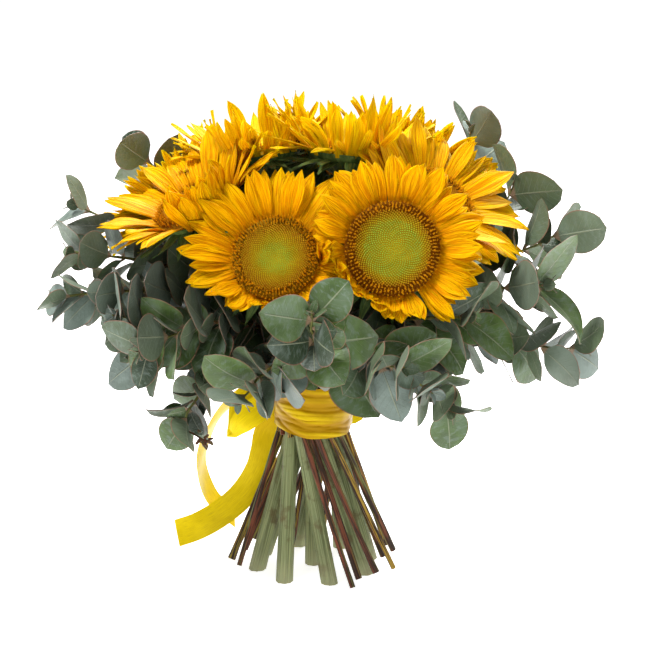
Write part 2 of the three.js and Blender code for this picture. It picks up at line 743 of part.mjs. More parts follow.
// The shapes that one leaf of a pair tries. Each pair stands at right angles to the one before it.
function leafShapes(branch, serial, curve, pair, second) {
  const id = serial * 40 + pair * 2 + (second ? 1 : 0);
  const varied = (amount, salt) => amount * (draw(id, salt) - 0.5);
  const share = pairShare(branch, pair);
  const outward = pair / (branch.pairs - 1);
  const along = curve.getTangent(share);
  const level = squareTo(along, branchSide(branch));
  const third = along.clone().cross(level);
  const quarter = (pair + (second ? 2 : 0)) % TWIG_SIDES;
  const face = radians(branch.turn) + (Math.PI / 2) * quarter;
  const spin = face + varied(LEAF_VARIES.spin, 6);
  const size = THREE.MathUtils.lerp(branch.leaf[0], branch.leaf[1], outward);
  const length = size * (LEAF_KEPT + LEAF_VARIES.length * draw(id, 7));
  const width = length * (LEAF_WIDE + LEAF_VARIES.width * draw(id, 8));
  const lean = radians(LEAF_LEAN - TIP_LEAN * outward) + varied(LEAF_VARIES.lean, 9);
  const turn = LEAF_TURN + varied(LEAF_VARIES.turn, 10);
  const outwards = curve.getPoint(share).sub(new THREE.Vector3(...LEAF_CENTRE)).normalize();
  const blade = length > SMALL_LEAF ? LEAF_OUTLINE : SMALL_LEAF_OUTLINE;
  const outline = [[0, PETIOLE / 2 / width], ...blade];
  const flatFace = twigRadius(share) * Math.SQRT1_2;
  const root = curve
    .getPoint(share)
    .addScaledVector(level, Math.cos(face) * flatFace)
    .addScaledVector(third, Math.sin(face) * flatFace);
  return LEAF_TRIES.map(([more, keep, swing]) => {
    const side = turned(level, third, spin + swing);
    const out = turned(along, side, lean + more);
    const flat = turned(side, along, -lean - more).negate();
    const across = out.clone().cross(flat);
    const towards = Math.atan2(outwards.dot(across), outwards.dot(flat));
    const twist = THREE.MathUtils.clamp(towards, -MOST_TWIST, MOST_TWIST);
    const up = turned(flat, across, twist + varied(LEAF_VARIES.twist, 12));
    return {
      root, out, up, turn, outline,
      length: length * keep,
      width: width * keep,
      rise: LEAF_RISE,
      start: LEAF_CLEARANCE,
      ring: pair + 3,
      side: (quarter + 3) % TWIG_SIDES,
    };
  });
}

// A direction turned from one way towards another
function turned(from, towards, angle) {
  return from.clone().multiplyScalar(Math.cos(angle)).addScaledVector(towards, Math.sin(angle));
}

// Ribbon

// A flat strip of ribbon along a curve, its face turned the given way. It is gathered to a share
// of its width in the knot, at its start and for a loop also at its end. A loop's far end can be
// folded narrower by a share of the width.
function strip(points, facing, steps, loop, folded = 0) {
  const curve = curveThrough(points);
  const rings = [];
  for (let i = 0; i <= steps; i++) {
    const share = i / steps;
    const at = curve.getPointAt(share);
    const along = curve.getTangentAt(share);
    const normal = squareTo(along, new THREE.Vector3(...facing));
    const side = normal.clone().cross(along);
    const fromKnot = loop ? Math.min(share, 1 - share) : share;
    const fold = 1 - folded * Math.exp(-(((share - 0.5) / FOLD_LENGTH) ** 2));
    const half = (RIBBON_WIDTH / 2) * Math.min(1, GATHER + fromKnot * GATHER_RATE) * fold;
    const edges = [-half, half].map((s) => at.clone().addScaledVector(side, s));
    const [left, right] = edges.map((edge) => edge.addScaledVector(normal, -RIBBON_THICK / 2));
    const above = [right, left].map((edge) => edge.clone().addScaledVector(normal, RIBBON_THICK));
    rings.push([left, right, ...above]);
  }
  return solidOf(skin(rings));
}

function curveThrough(points) {
  const knots = points.map((p) => new THREE.Vector3(...p));
  return new THREE.CatmullRomCurve3(knots, false, "centripetal");
}

function ribbonBand() {
  const inner = [[BAND_IN_R, BAND_HIGH], [BAND_IN_R, BAND_LOW]];
  const outer = [];
  const steps = BAND_RIPPLES * 2;
  for (let i = 0; i <= steps; i++) {
    const z = BAND_LOW + ((BAND_HIGH - BAND_LOW) * i) / steps;
    outer.push([BAND_OUT_R + (i % 2) * BAND_RIPPLE + BAND_FLARE * (i / steps), z]);
  }
  const corner = 1 / Math.cos(Math.PI / BAND_SIDES);
  const points = [...inner, ...outer, inner[0]];
  const profile = points.map(([r, z]) => new THREE.Vector2(r * corner, z));
  return solidOf(new THREE.LatheGeometry(profile, BAND_SIDES).rotateX(Math.PI / 2));
}

// The bow behind the waist: a knot, two flat loops, and the ribbon's two ends that hang to the left
const LOOP_LEFT = [
  [-6, 39, 147], [-28, 46, 150], [-54, 45, 138], [-74, 40, 118], [-68, 32, 113], [-46, 33, 126],
  [-24, 36, 139], [-6, 38, 145],
];
const LOOP_RIGHT = [
  [-3, 39, 147], [12, 47, 148], [28, 50, 138], [36, 46, 127], [26, 41, 128], [10, 39, 138],
  [-3, 38, 145],
];
const TAIL_WIDE = [
  [-6, 40, 142], [-26, 45, 124], [-40, 47, 107], [-44, 50, 88], [-48, 52, 72], [-57, 52, 55],
  [-68, 50, 42], [-85, 44, 30], [-103, 36, 22], [-121, 28, 18],
];
const TAIL_NARROW = [
  [-6, 40, 148], [-32, 54, 150], [-58, 61, 142], [-76, 60, 127], [-92, 60, 103], [-100, 60, 78],
  [-98, 61, 55], [-88, 62, 35], [-71, 62, 22],
];

function ribbonBow() {
  const knot = new THREE.SphereGeometry(KNOT_R, 6, 5).scale(...KNOT_SCALE);
  return wasm.Manifold.union([
    solidOf(knot.translate(...KNOT_AT)),
    strip(LOOP_LEFT, [-0.2, -0.9, 0.4], 10, true, 0.75),
    strip(LOOP_RIGHT, [0.3, -0.9, 0.3], 8, true),
    strip(TAIL_WIDE, [0.1, -0.95, 0.25], 12, false),
    strip(TAIL_NARROW, [0.95, -0.3, 0.1], 12, false),
  ]);
}

// Assembly

const bouquet = new THREE.Group();

function add(name, kind, solid) {
  if (solid.status() !== "NoError") throw new Error(name + " isn't closed");
  const [color, roughness] = COLOURS[kind];
  const material = new THREE.MeshStandardMaterial({ color, roughness, metalness: 0 });
  const mesh = new THREE.Mesh(geometryOf(solid), material);
  mesh.name = name;
  bouquet.add(mesh);
}

// The blades that find a place among those that each number from 0 on can try
function grow(count, base, spareBase, shapesOf) {
  return Array.from({ length: count }, (_, k) => settle(shapesOf(k), base, spareBase)).flat();
}

const frames = FLOWERS.map(headFrame);
const stems = FLOWERS.map((flower, i) => flowerStem(flower, frames[i]));
FLOWERS.forEach((flower, i) => {
  remember(stems[i], "");
  remember(solidOf(skin(calyxRings(flower, frames[i]))), "calyx" + i);
  remember(solidOf(skin(petalRings(flower, frames[i]), [], true)), "ring" + i);
  const disc = discSolid(flower, frames[i]);
  remember(disc, "");
  add("disc_" + flower.name, "disc", disc);
});

const ribbon = { ribbon_band: ribbonBand(), ribbon_bow: ribbonBow() };
for (const [name, solid] of Object.entries(ribbon)) {
  remember(solid, "");
  add(name, "ribbon", solid);
}

// Leaves leave the ribbon in sight
remember(wasm.Manifold.cylinder(BARE_HIGH - BARE_LOW, BARE_R).translate(0, 0, BARE_LOW), "");
const bareBox = wasm.Manifold.cube(BARE_BOX, true).rotate(BARE_BOX_TILT, 0, 0);
remember(bareBox.translate(...BARE_BOX_AT), "");

const twigs = BRANCHES.map(twigRings);
twigs.forEach((rings, i) => remember(solidOf(skin(rings)), "twig" + i));

FLOWERS.forEach((flower, i) => {
  const petals = grow(PETALS, "ring" + i, true, (k) => petalShapes(flower, frames[i], i, k));
  add("petals_" + flower.name, "petal", solidOf(skin(petalRings(flower, frames[i]), petals, true)));
});
FLOWERS.forEach((flower, i) => {
  const bracts = grow(BRACTS, "calyx" + i, true, (k) => bractShapes(flower, frames[i], i, k));
  const cup = solidOf(skin(calyxRings(flower, frames[i]), bracts));
  add("stem_" + flower.name, "stem", stems[i].add(cup));
});
BRANCHES.forEach((branch, i) => {
  const curve = branchCurve(branch);
  const shapesOf = (k) => leafShapes(branch, i, curve, Math.floor(k / 2), k % 2 === 1);
  const leaves = grow(branch.pairs * 2, "twig" + i, false, shapesOf);
  add("eucalyptus_" + branch.name, "eucalyptus", solidOf(skin(twigs[i], leaves)));
});

export default bouquet;
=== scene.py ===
"""Dresses a hand-tied bunch of sunflowers and round-leaved eucalyptus for a studio picture.

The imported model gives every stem, petal and leaf its place. Each keeled blade in it becomes a fine
petal, bract or leaf along the same line. The scene adds florets, further petals, ribs, veins and
the ribbon's folds, then a pale floor, soft light and the camera.
"""
import logging
import math
from dataclasses import dataclass, field, replace
from enum import Enum
from typing import Callable, Iterable, Sequence

import bpy
import numpy as np
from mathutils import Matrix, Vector


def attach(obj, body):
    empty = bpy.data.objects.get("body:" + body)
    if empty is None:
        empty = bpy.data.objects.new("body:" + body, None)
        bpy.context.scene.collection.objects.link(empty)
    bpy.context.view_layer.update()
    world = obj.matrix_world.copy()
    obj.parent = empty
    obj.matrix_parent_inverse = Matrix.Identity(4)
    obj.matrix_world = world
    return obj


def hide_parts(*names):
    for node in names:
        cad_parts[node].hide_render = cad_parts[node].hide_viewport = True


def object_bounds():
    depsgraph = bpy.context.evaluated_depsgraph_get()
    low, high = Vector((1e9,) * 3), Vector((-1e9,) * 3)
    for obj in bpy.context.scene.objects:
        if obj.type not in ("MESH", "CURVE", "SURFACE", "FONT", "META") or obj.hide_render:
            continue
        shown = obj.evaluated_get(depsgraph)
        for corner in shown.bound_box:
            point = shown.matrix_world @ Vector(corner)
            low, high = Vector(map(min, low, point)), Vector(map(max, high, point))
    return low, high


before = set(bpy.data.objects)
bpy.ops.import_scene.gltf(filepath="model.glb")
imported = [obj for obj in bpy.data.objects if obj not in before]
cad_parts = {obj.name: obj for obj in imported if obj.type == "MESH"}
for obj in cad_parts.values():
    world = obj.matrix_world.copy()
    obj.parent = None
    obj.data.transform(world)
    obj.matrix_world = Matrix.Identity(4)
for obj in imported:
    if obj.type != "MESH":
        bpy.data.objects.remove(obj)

LOG = logging.getLogger("bunch")
MM = 0.001
CAD_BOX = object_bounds()

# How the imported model's blades are keeled, and the shares of a blade's length at which it has corners
KEEL = 1.3 * MM
KEEL_SLACK = 0.08 * MM
PETAL_SHARES = (0.0, 0.42, 0.78)
BRACT_SHARES = (0.0, 0.4)
LEAF_SHARES = (0.0, 0.3, 0.7)
SMALL_LEAF_SHARES = (0.0, 0.48)
PETIOLE_WIDTH = 1.25 * MM

# The waist: every stem is a straight line that slants round the bunch's axis
TIE_HEIGHT = 147 * MM
SLANT = 17.7
NECK_START = 215 * MM
RING_RADIUS = 18.1 * MM
SLOT_TURN = 45.0

# The heads: how deep the cup and the disc are, and how far the disc's rim lies past its corners
CALYX_DEPTH = 25 * MM
CALYX_TOP = 4.4 * MM
DISC_DEPTH = 3.9 * MM
RIM_PAST = 0.5 * MM

# The spiral in which florets stand
GOLDEN_ANGLE = math.pi * (3 - math.sqrt(5))
GOLDEN_SHARE = 0.6180339887

# A span's two ends, each wave's height, rate and start, a colour's red, green and blue, and how dense
# a pattern is across and along a surface, how far it is shifted from copy to copy, and its detail
Span = tuple[float, float]
Waves = tuple[tuple[float, float, float], ...]
Colour = tuple[float, float, float]
Pattern = tuple[float, float, float, float]

# Any angle round a circle, and where the seeds of flowers and branches start
ANY_ANGLE: Span = (0, 6.3)
FLOWER_SEED, BRANCH_SEED = 100, 500

# The place of the bark among a branch's materials
BARK = 1


# Directions and rows of numbers


def unit(way: np.ndarray) -> np.ndarray:
    """Gives a direction its unit length."""
    return way / np.linalg.norm(way)


def unit_rows(ways: np.ndarray) -> np.ndarray:
    """Gives each row of directions its unit length."""
    return ways / np.linalg.norm(ways, axis=1)[:, None]


def swing(first: np.ndarray, second: np.ndarray, angle: float) -> tuple[np.ndarray, np.ndarray]:
    """Turns two directions that are square to each other in their plane.

    Args:
        first: The one that turns towards the other.
        second: The other.
        angle: How far they turn, in radians.

    Returns:
        Both directions after that.
    """
    cos, sin = math.cos(angle), math.sin(angle)
    return first * cos + second * sin, second * cos - first * sin


def columns(*parts: np.ndarray | float) -> np.ndarray:
    """Puts numbers side by side, one row for each corner."""
    return np.column_stack(np.broadcast_arrays(*parts))


def waves(at: np.ndarray, parts: Waves) -> np.ndarray:
    """Adds up waves."""
    return sum(height * np.sin(at * rate + start) for height, rate, start in parts)


def read_curve(places: Iterable[float], values: Iterable[float], at: np.ndarray) -> np.ndarray:
    """Reads a smooth curve through values at given places."""
    places, values = np.array(list(places)), np.array(list(values))
    index = np.clip(np.searchsorted(places, at, side="right") - 1, 0, len(places) - 2)
    slopes = np.gradient(values, places)
    span = places[index + 1] - places[index]
    t = (at - places[index]) / span
    low, high = values[index], values[index + 1]
    return (
        low * (1 + 2 * t) * (1 - t) ** 2
        + high * t**2 * (3 - 2 * t)
        + span * (slopes[index] * t * (1 - t) ** 2 - slopes[index + 1] * t**2 * (1 - t))
    )


# Shapes that are modelled once


def select_only(piece: bpy.types.Object) -> None:
    """Leaves one piece selected and active."""
    bpy.ops.object.select_all(action="DESELECT")
    piece.select_set(True)
    bpy.context.view_layer.objects.active = piece


def start_shape() -> None:
    """Clears the selection before a primitive is added."""
    if bpy.context.object is not None and bpy.context.object.mode != "OBJECT":
        bpy.ops.object.mode_set(mode="OBJECT")
    bpy.ops.object.select_all(action="DESELECT")


def draw_out(rise: float, times: int = 1, aside: float = 0.0) -> None:
    """Extrudes what is selected.

    Args:
        rise: How far up it goes each time.
        times: How many times.
        aside: How far along x it goes each time.
    """
    for _ in range(times):
        bpy.ops.mesh.extrude_region_move(TRANSFORM_OT_translate={"value": (aside, 0, rise)})


@dataclass
class Mould:
    """A shape that is modelled once and laid many times.

    Args:
        spots: Its corners, one row each.
        faces: The corners of each face.
    """

    spots: np.ndarray
    faces: list[tuple[int, ...]]

    @classmethod
    def cast(cls, piece: bpy.types.Object) -> "Mould":
        """Reads a modelled piece and clears it away.

        Args:
            piece: The piece, in object or edit mode.

        Returns:
            The mould.
        """
        if bpy.context.object.mode != "OBJECT":
            bpy.ops.object.mode_set(mode="OBJECT")
        mesh = piece.data
        spots = np.empty(len(mesh.vertices) * 3)
        mesh.vertices.foreach_get("co", spots)
        faces = [tuple(face.vertices) for face in mesh.polygons]
        bpy.data.objects.remove(piece)
        return cls(spots.reshape(-1, 3), faces)

    @classmethod
    def close(cls, piece: bpy.types.Object) -> "Mould":
        """Turns a closed piece's faces outward, then reads it.

        Args:
            piece: The piece, in edit mode.

        Returns:
            The mould.
        """
        bpy.ops.mesh.select_all(action="SELECT")
        bpy.ops.mesh.normals_make_consistent(inside=False)
        return cls.cast(piece)

    @property
    def angle(self) -> np.ndarray:
        """Its corners' angles round z."""
        return np.arctan2(self.spots[:, 1], self.spots[:, 0])

    @property
    def share(self) -> np.ndarray:
        """Its corners' heights as shares of its own."""
        return self.spots[:, 2] / self.spots[:, 2].max()

    @property
    def steps(self) -> int:
        """How many stretches it has along z."""
        return int(round(self.spots[:, 2].max()))

    def stand(
        self, root: np.ndarray, axis: np.ndarray, side: np.ndarray, width: float, lift: np.ndarray
    ) -> np.ndarray:
        """Stands it on a root.

        Args:
            root: The point that it stands on.
            axis: The way that it rises.
            side: The way that its x axis points.
            width: How wide one unit of it is.
            lift: Its corners' distances along the axis.

        Returns:
            The corners' places.
        """
        x, y, _ = self.spots.T
        flat = x[:, None] * side + y[:, None] * np.cross(axis, side)
        return root + width * flat + lift[:, None] * axis


def blade_mould(steps: int, across: int) -> Mould:
    """Models a closed flat blade: x runs along it from 0 to 1, y across from -1 to 1, z from 0 to 1.

    Args:
        steps: Divisions along the blade.
        across: Divisions across it.

    Returns:
        The mould.
    """
    start_shape()
    bpy.ops.mesh.primitive_grid_add(x_subdivisions=steps, y_subdivisions=across, size=2)
    piece = bpy.context.object
    bpy.ops.object.mode_set(mode="EDIT")
    bpy.ops.mesh.select_all(action="SELECT")
    bpy.ops.transform.translate(value=(1, 0, 0))
    bpy.ops.transform.resize(value=(0.5, 1, 1), center_override=(0, 0, 0))
    draw_out(1)
    return Mould.close(piece)


def tube_mould(sides: int, steps: int) -> Mould:
    """Models a closed stem of unit radius, one unit of z for each step.

    Args:
        sides: Sides of the stem.
        steps: Stretches along it.

    Returns:
        The mould.
    """
    start_shape()
    bpy.ops.mesh.primitive_circle_add(vertices=sides, radius=1, fill_type="NGON")
    piece = bpy.context.object
    bpy.ops.object.mode_set(mode="EDIT")
    bpy.ops.mesh.select_all(action="SELECT")
    draw_out(1, steps)
    return Mould.close(piece)


def floret_cup(foot: float, rim: float) -> bpy.types.Object:
    """Models a five-sided cup one unit high, and selects its top.

    Args:
        foot: Its radius at the foot.
        rim: Its radius at the rim.

    Returns:
        The cup, in edit mode.
    """
    start_shape()
    bpy.ops.mesh.primitive_cone_add(vertices=5, radius1=foot, radius2=rim, depth=1, location=(0, 0, 0.5))
    piece = bpy.context.object
    bpy.ops.object.transform_apply(location=True, rotation=True, scale=True)
    bpy.ops.object.mode_set(mode="EDIT")
    bpy.ops.mesh.select_mode(type="FACE")
    bpy.ops.mesh.select_all(action="DESELECT")
    bpy.ops.object.mode_set(mode="OBJECT")
    for face in piece.data.polygons:
        face.select = face.normal.z > 0.9
    bpy.ops.object.mode_set(mode="EDIT")
    return piece


def bud_mould() -> Mould:
    """Models a closed floret: a five-sided bud with a blunt point, one unit high."""
    piece = floret_cup(0.5, 0.36)
    bpy.ops.mesh.poke(offset=0.2)
    return Mould.cast(piece)


def open_floret_mould() -> Mould:
    """Models an open floret: a flared five-lobed cup with a stigma that stands out of it."""
    piece = floret_cup(0.26, 0.5)
    bpy.ops.mesh.inset(thickness=0.3, depth=-0.24)
    draw_out(0.85, aside=0.12)
    return Mould.cast(piece)


class Patchwork:
    """Collects laid copies of moulds and sews them into one mesh."""

    def __init__(self) -> None:
        """Starts empty."""
        self.spots: list[np.ndarray] = []
        self.faces: list[tuple[int, ...]] = []
        self.lays: list[np.ndarray] = []
        self.traits: list[np.ndarray] = []
        self.finishes: list[int] = []
        self.count = 0

    def lay(
        self,
        mould: Mould,
        spots: np.ndarray,
        lay: np.ndarray,
        traits: np.ndarray | Sequence[float],
        finish: int = 0,
    ) -> None:
        """Adds one copy of a mould.

        Args:
            mould: The shape.
            spots: Where its corners lie, in metres.
            lay: Each corner's place on the surface, across and along.
            traits: Three numbers for each corner, or for the whole copy.
            finish: Which of the piece's materials it has.
        """
        rows = len(spots)
        self.spots.append(spots)
        self.lays.append(lay)
        self.traits.append(np.broadcast_to(np.asarray(traits, dtype=float), (rows, 3)))
        self.faces.extend(tuple(i + self.count for i in face) for face in mould.faces)
        self.finishes.extend([finish] * len(mould.faces))
        self.count += rows

    def sew(self, name: str, materials: Sequence[bpy.types.Material], sharp: float) -> bpy.types.Object:
        """Makes the piece.

        Args:
            name: The piece's name.
            materials: Its materials, in the order of the finishes.
            sharp: The angle in degrees past which an edge stays sharp.

        Returns:
            The piece, smooth shaded, with its surface map and traits.
        """
        mesh = bpy.data.meshes.new(name)
        mesh.from_pydata(np.concatenate(self.spots).tolist(), [], self.faces)
        for material in materials:
            mesh.materials.append(material)
        mesh.polygons.foreach_set("material_index", self.finishes)
        corners = np.empty(len(mesh.loops), dtype=int)
        mesh.loops.foreach_get("vertex_index", corners)
        surface = mesh.uv_layers.new(name="lay")
        surface.data.foreach_set("uv", np.concatenate(self.lays)[corners].ravel())
        traits = mesh.attributes.new("traits", "FLOAT_VECTOR", "POINT")
        traits.data.foreach_set("vector", np.concatenate(self.traits).ravel())
        mesh.update()
        piece = bpy.data.objects.new(name, mesh)
        bpy.context.scene.collection.objects.link(piece)
        select_only(piece)
        bpy.ops.object.shade_smooth_by_angle(angle=math.radians(sharp))
        return piece


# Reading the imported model


@dataclass
class Blade:
    """The middle line of a petal, bract or leaf: an arc that starts at a root and turns as it goes.

    Args:
        root: Where the blade starts.
        along: The way that it leaves.
        up: The way that its upper face looks there.
        length: Its length.
        turn: The angle that it turns towards its upper face.
        width: Its full width.
    """

    root: np.ndarray
    along: np.ndarray
    up: np.ndarray
    length: float
    turn: float
    width: float

    def spots(self, share: np.ndarray, across: np.ndarray, lift: np.ndarray) -> np.ndarray:
        """Puts points across and above the line at shares of its length.

        Args:
            share: Shares of the length.
            across: Distances across.
            lift: Distances above.

        Returns:
            One row for each point.
        """
        half = self.turn * share[:, None] / 2
        reach = self.length * share[:, None] * np.sinc(half / math.pi)
        line = self.root + reach * (np.cos(half) * self.along + np.sin(half) * self.up)
        normal = np.cos(2 * half) * self.up - np.sin(2 * half) * self.along
        side = np.cross(self.along, self.up)
        return line + across[:, None] * side + lift[:, None] * normal

    def between(self, other: "Blade", share: float, rise: float, keep: float) -> "Blade":
        """Makes a blade between this one and a neighbour.

        Args:
            other: The neighbour.
            share: How near it stands to the neighbour, from 0 to 1.
            rise: How far it tilts to its upper face, in radians.
            keep: The share of their length that it has.

        Returns:
            The blade between them.
        """
        along = unit(self.along * (1 - share) + other.along * share)
        up = unit(self.up * (1 - share) + other.up * share)
        tilted, raised = swing(along, unit(up - along * (up @ along)), rise)
        root = self.root * (1 - share) + other.root * share
        length = (self.length * (1 - share) + other.length * share) * keep
        turn = (self.turn + other.turn) / 2
        return Blade(root, tilted, raised, length, turn, (self.width + other.width) / 2)


class Lattice:
    """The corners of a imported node, and which of them share an edge."""

    def __init__(self, node: str) -> None:
        """Reads a node.

        Args:
            node: The node's name.
        """
        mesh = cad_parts[node].data
        spots = np.empty(len(mesh.vertices) * 3)
        mesh.vertices.foreach_get("co", spots)
        self.spots, index = np.unique(np.round(spots.reshape(-1, 3), 6), axis=0, return_inverse=True)
        index = index.ravel()
        self.near: list[set[int]] = [set() for _ in self.spots]
        for face in mesh.polygons:
            ids = {int(index[v]) for v in face.vertices}
            for i in ids:
                self.near[i] |= ids - {i}
        self.used: set[int] = set()

    def keeled(self, left: int, right: int, keel: int) -> bool:
        """Says whether three corners are a blade's cross-section."""
        middle = (self.spots[left] + self.spots[right]) / 2
        return abs(np.linalg.norm(middle - self.spots[keel]) - KEEL) < KEEL_SLACK

    def sections(self, tip: int, most: int) -> list[tuple[int, int, int]]:
        """Follows a blade from its tip to its root.

        Args:
            tip: The corner at the tip.
            most: How many sections a blade here can have.

        Returns:
            The sections from the root on, as left, right and keel corners, or nothing.
        """
        a, b, c = sorted(self.near[tip])
        orders = ((a, b, c), (b, c, a), (a, c, b))
        gaps = {np.linalg.norm(self.spots[i] - self.spots[j]): (i, j, k) for i, j, k in orders}
        left, right, keel = gaps[max(gaps)]
        if not self.keeled(left, right, keel):
            return []
        middle = (self.spots[left] + self.spots[right]) / 2
        normal = middle - self.spots[keel]
        side = np.cross(self.spots[tip] - middle, normal)
        if (self.spots[right] - self.spots[left]) @ side < 0:
            left, right = right, left
        found = [(left, right, keel)]
        seen = {tip, left, right, keel}
        while len(found) < most:
            left, right, keel = found[-1]
            near = self.near
            pairs = ((left, right), (right, keel), (keel, left))
            common = [near[i] & near[j] - seen for i, j in pairs]
            if any(len(ids) != 1 for ids in common):
                break
            section = tuple(ids.pop() for ids in common)
            if len(set(section)) != 3 or not self.keeled(*section):
                break
            seen |= set(section)
            found.append(section)
            if np.linalg.norm(self.spots[section[0]] - self.spots[section[1]]) < PETIOLE_WIDTH:
                break
        self.used |= seen
        return found[::-1]

    def blades(self, kinds: dict[int, tuple[tuple[float, ...], float]]) -> list[Blade]:
        """Finds the node's blades.

        Args:
            kinds: For a number of sections, their shares of the length, and the second one's half
                width as a share of the whole width.

        Returns:
            The blades.
        """
        found = []
        for tip in range(len(self.spots)):
            if len(self.near[tip]) != 3:
                continue
            sections = self.sections(tip, max(kinds))
            if len(sections) not in kinds:
                continue
            shares, half = kinds[len(sections)]
            (left, right, keel), (left2, right2, keel2) = [self.spots[list(ids)] for ids in sections[:2]]
            up = unit((left + right) / 2 - keel)
            side = unit(right - left)
            up = unit(up - side * (up @ side))
            along = np.cross(up, side)
            up2 = unit((left2 + right2) / 2 - keel2)
            turn = math.atan2(-(up2 @ along), up2 @ up)
            root = (left + right) / 2 - up * KEEL / 2
            second = (left2 + right2) / 2 - up2 * KEEL / 2
            chord = float(np.linalg.norm(second - root))
            length = chord / (shares[1] * float(np.sinc(turn / 2 / math.pi)))
            width = float(np.linalg.norm(right2 - left2)) / (2 * half)
            found.append(Blade(root, along, up, length, turn / shares[1], width))
        return found

    def rings(self, reach: float) -> list[np.ndarray]:
        """Finds the middles of the rings that aren't part of a blade, in order from the lowest.

        Args:
            reach: The most that two corners of one ring lie apart.

        Returns:
            The middles.
        """
        rest = [i for i in range(len(self.spots)) if i not in self.used]
        middles = []
        while rest:
            first = self.spots[rest[0]]
            ring = [i for i in rest if np.linalg.norm(self.spots[i] - first) < reach]
            rest = [i for i in rest if i not in ring]
            middles.append(self.spots[ring].mean(axis=0))
        path = [min(middles, key=lambda p: p[2])]
        middles = [m for m in middles if m is not path[0]]
        while middles:
            nearest = min(middles, key=lambda p: np.linalg.norm(p - path[-1]))
            path.append(nearest)
            middles = [m for m in middles if m is not nearest]
        return path


@dataclass
class Head:
    """Where a flower head lies.

    Args:
        centre: The middle of its disc.
        facing: The way that it faces.
        radius: The disc's radius.
    """

    centre: np.ndarray
    facing: np.ndarray
    radius: float

    @classmethod
    def of(cls, name: str) -> "Head":
        """Reads a head from its packed disc, whose two middle corners have the most neighbours."""
        lattice = Lattice("disc_" + name)
        hubs = sorted(range(len(lattice.spots)), key=lambda i: -len(lattice.near[i]))[:2]
        spots, near = lattice.spots, lattice.near
        spread = {i: max(np.linalg.norm(spots[j] - spots[i]) for j in near[i]) for i in hubs}
        base, top = sorted(hubs, key=lambda i: -spread[i])
        facing = unit(spots[top] - spots[base])
        return cls(spots[base] + facing * DISC_DEPTH, facing, spread[base] + RIM_PAST)

    @property
    def across(self) -> np.ndarray:
        """A direction square to the way that the head faces."""
        reference = np.array([0.0, 0.0, 1.0]) if abs(self.facing[2]) < 0.9 else np.array([0.0, -1.0, 0.0])
        return unit(reference - self.facing * (reference @ self.facing))

    @property
    def beside(self) -> np.ndarray:
        """The direction square to both of these."""
        return np.cross(self.facing, self.across)

    def angle_of(self, point: np.ndarray) -> float:
        """Gives the angle at which a point stands round the head's axis."""
        gap = point - self.centre
        return math.atan2(gap @ self.beside, gap @ self.across)

    def round_point(self, angle: np.ndarray, radius: np.ndarray, lift: np.ndarray) -> np.ndarray:
        """Puts points round the head's axis.

        Args:
            angle: Angles round the axis.
            radius: Distances from it.
            lift: Distances along it.

        Returns:
            One row for each point.
        """
        out = np.cos(angle)[:, None] * self.across + np.sin(angle)[:, None] * self.beside
        return self.centre + radius[:, None] * out + lift[:, None] * self.facing


def smooth_path(knots: Sequence[np.ndarray], shares: np.ndarray) -> np.ndarray:
    """Runs a smooth centripetal curve through knots.

    Args:
        knots: The points that it passes.
        shares: Where to read it, from 0 to 1.

    Returns:
        One row for each share.
    """
    points = np.array(knots, dtype=float)
    points = np.vstack([2 * points[0] - points[1], points, 2 * points[-1] - points[-2]])
    spans = len(knots) - 1
    place = np.clip(shares * spans, 0, spans - 1e-9)
    span = place.astype(int)
    t = (place - span)[:, None]
    p0, p1, p2, p3 = (points[span + i] for i in range(4))
    d0, d1, d2 = (np.sqrt(np.linalg.norm(b - a, axis=1))[:, None] for a, b in ((p0, p1), (p1, p2), (p2, p3)))
    leave = ((p1 - p0) / d0 - (p2 - p0) / (d0 + d1) + (p2 - p1) / d1) * d1
    reach = ((p2 - p1) / d1 - (p3 - p1) / (d1 + d2) + (p3 - p2) / d2) * d1
    square, cube = 3 * (p2 - p1) - 2 * leave - reach, 2 * (p1 - p2) + leave + reach
    return p1 + leave * t + square * t**2 + cube * t**3


def lay_tube(
    mould: Mould, line: np.ndarray, radius: Callable[[np.ndarray, np.ndarray], np.ndarray], level: bool
) -> np.ndarray:
    """Lays a tube mould along a line of points, one for each ring.

    Args:
        mould: The tube's mould.
        line: The rings' middles.
        radius: Gives the radius for angles round the tube and shares along it.
        level: Whether the first ring is cut level.

    Returns:
        The corners' places.
    """
    ways = unit_rows(np.gradient(line, axis=0))
    sides = np.empty_like(ways)
    side = np.array([1.0, 0.0, 0.0]) if abs(ways[0][0]) < 0.8 else np.array([0.0, 1.0, 0.0])
    for i, way in enumerate(ways):
        side = unit(side - way * (side @ way))
        sides[i] = side
    thirds = np.cross(ways, sides)
    step = np.rint(mould.spots[:, 2]).astype(int)
    angle = mould.angle
    r = radius(angle, step / (len(line) - 1))[:, None]
    spots = line[step] + r * (np.cos(angle)[:, None] * sides[step] + np.sin(angle)[:, None] * thirds[step])
    if level:
        first = step == 0
        way = ways[0]
        spots[first] += way * ((line[0][2] - spots[first][:, 2]) / way[2])[:, None]
    return spots


# Materials

Value = "Shade | float | tuple[float, ...]"


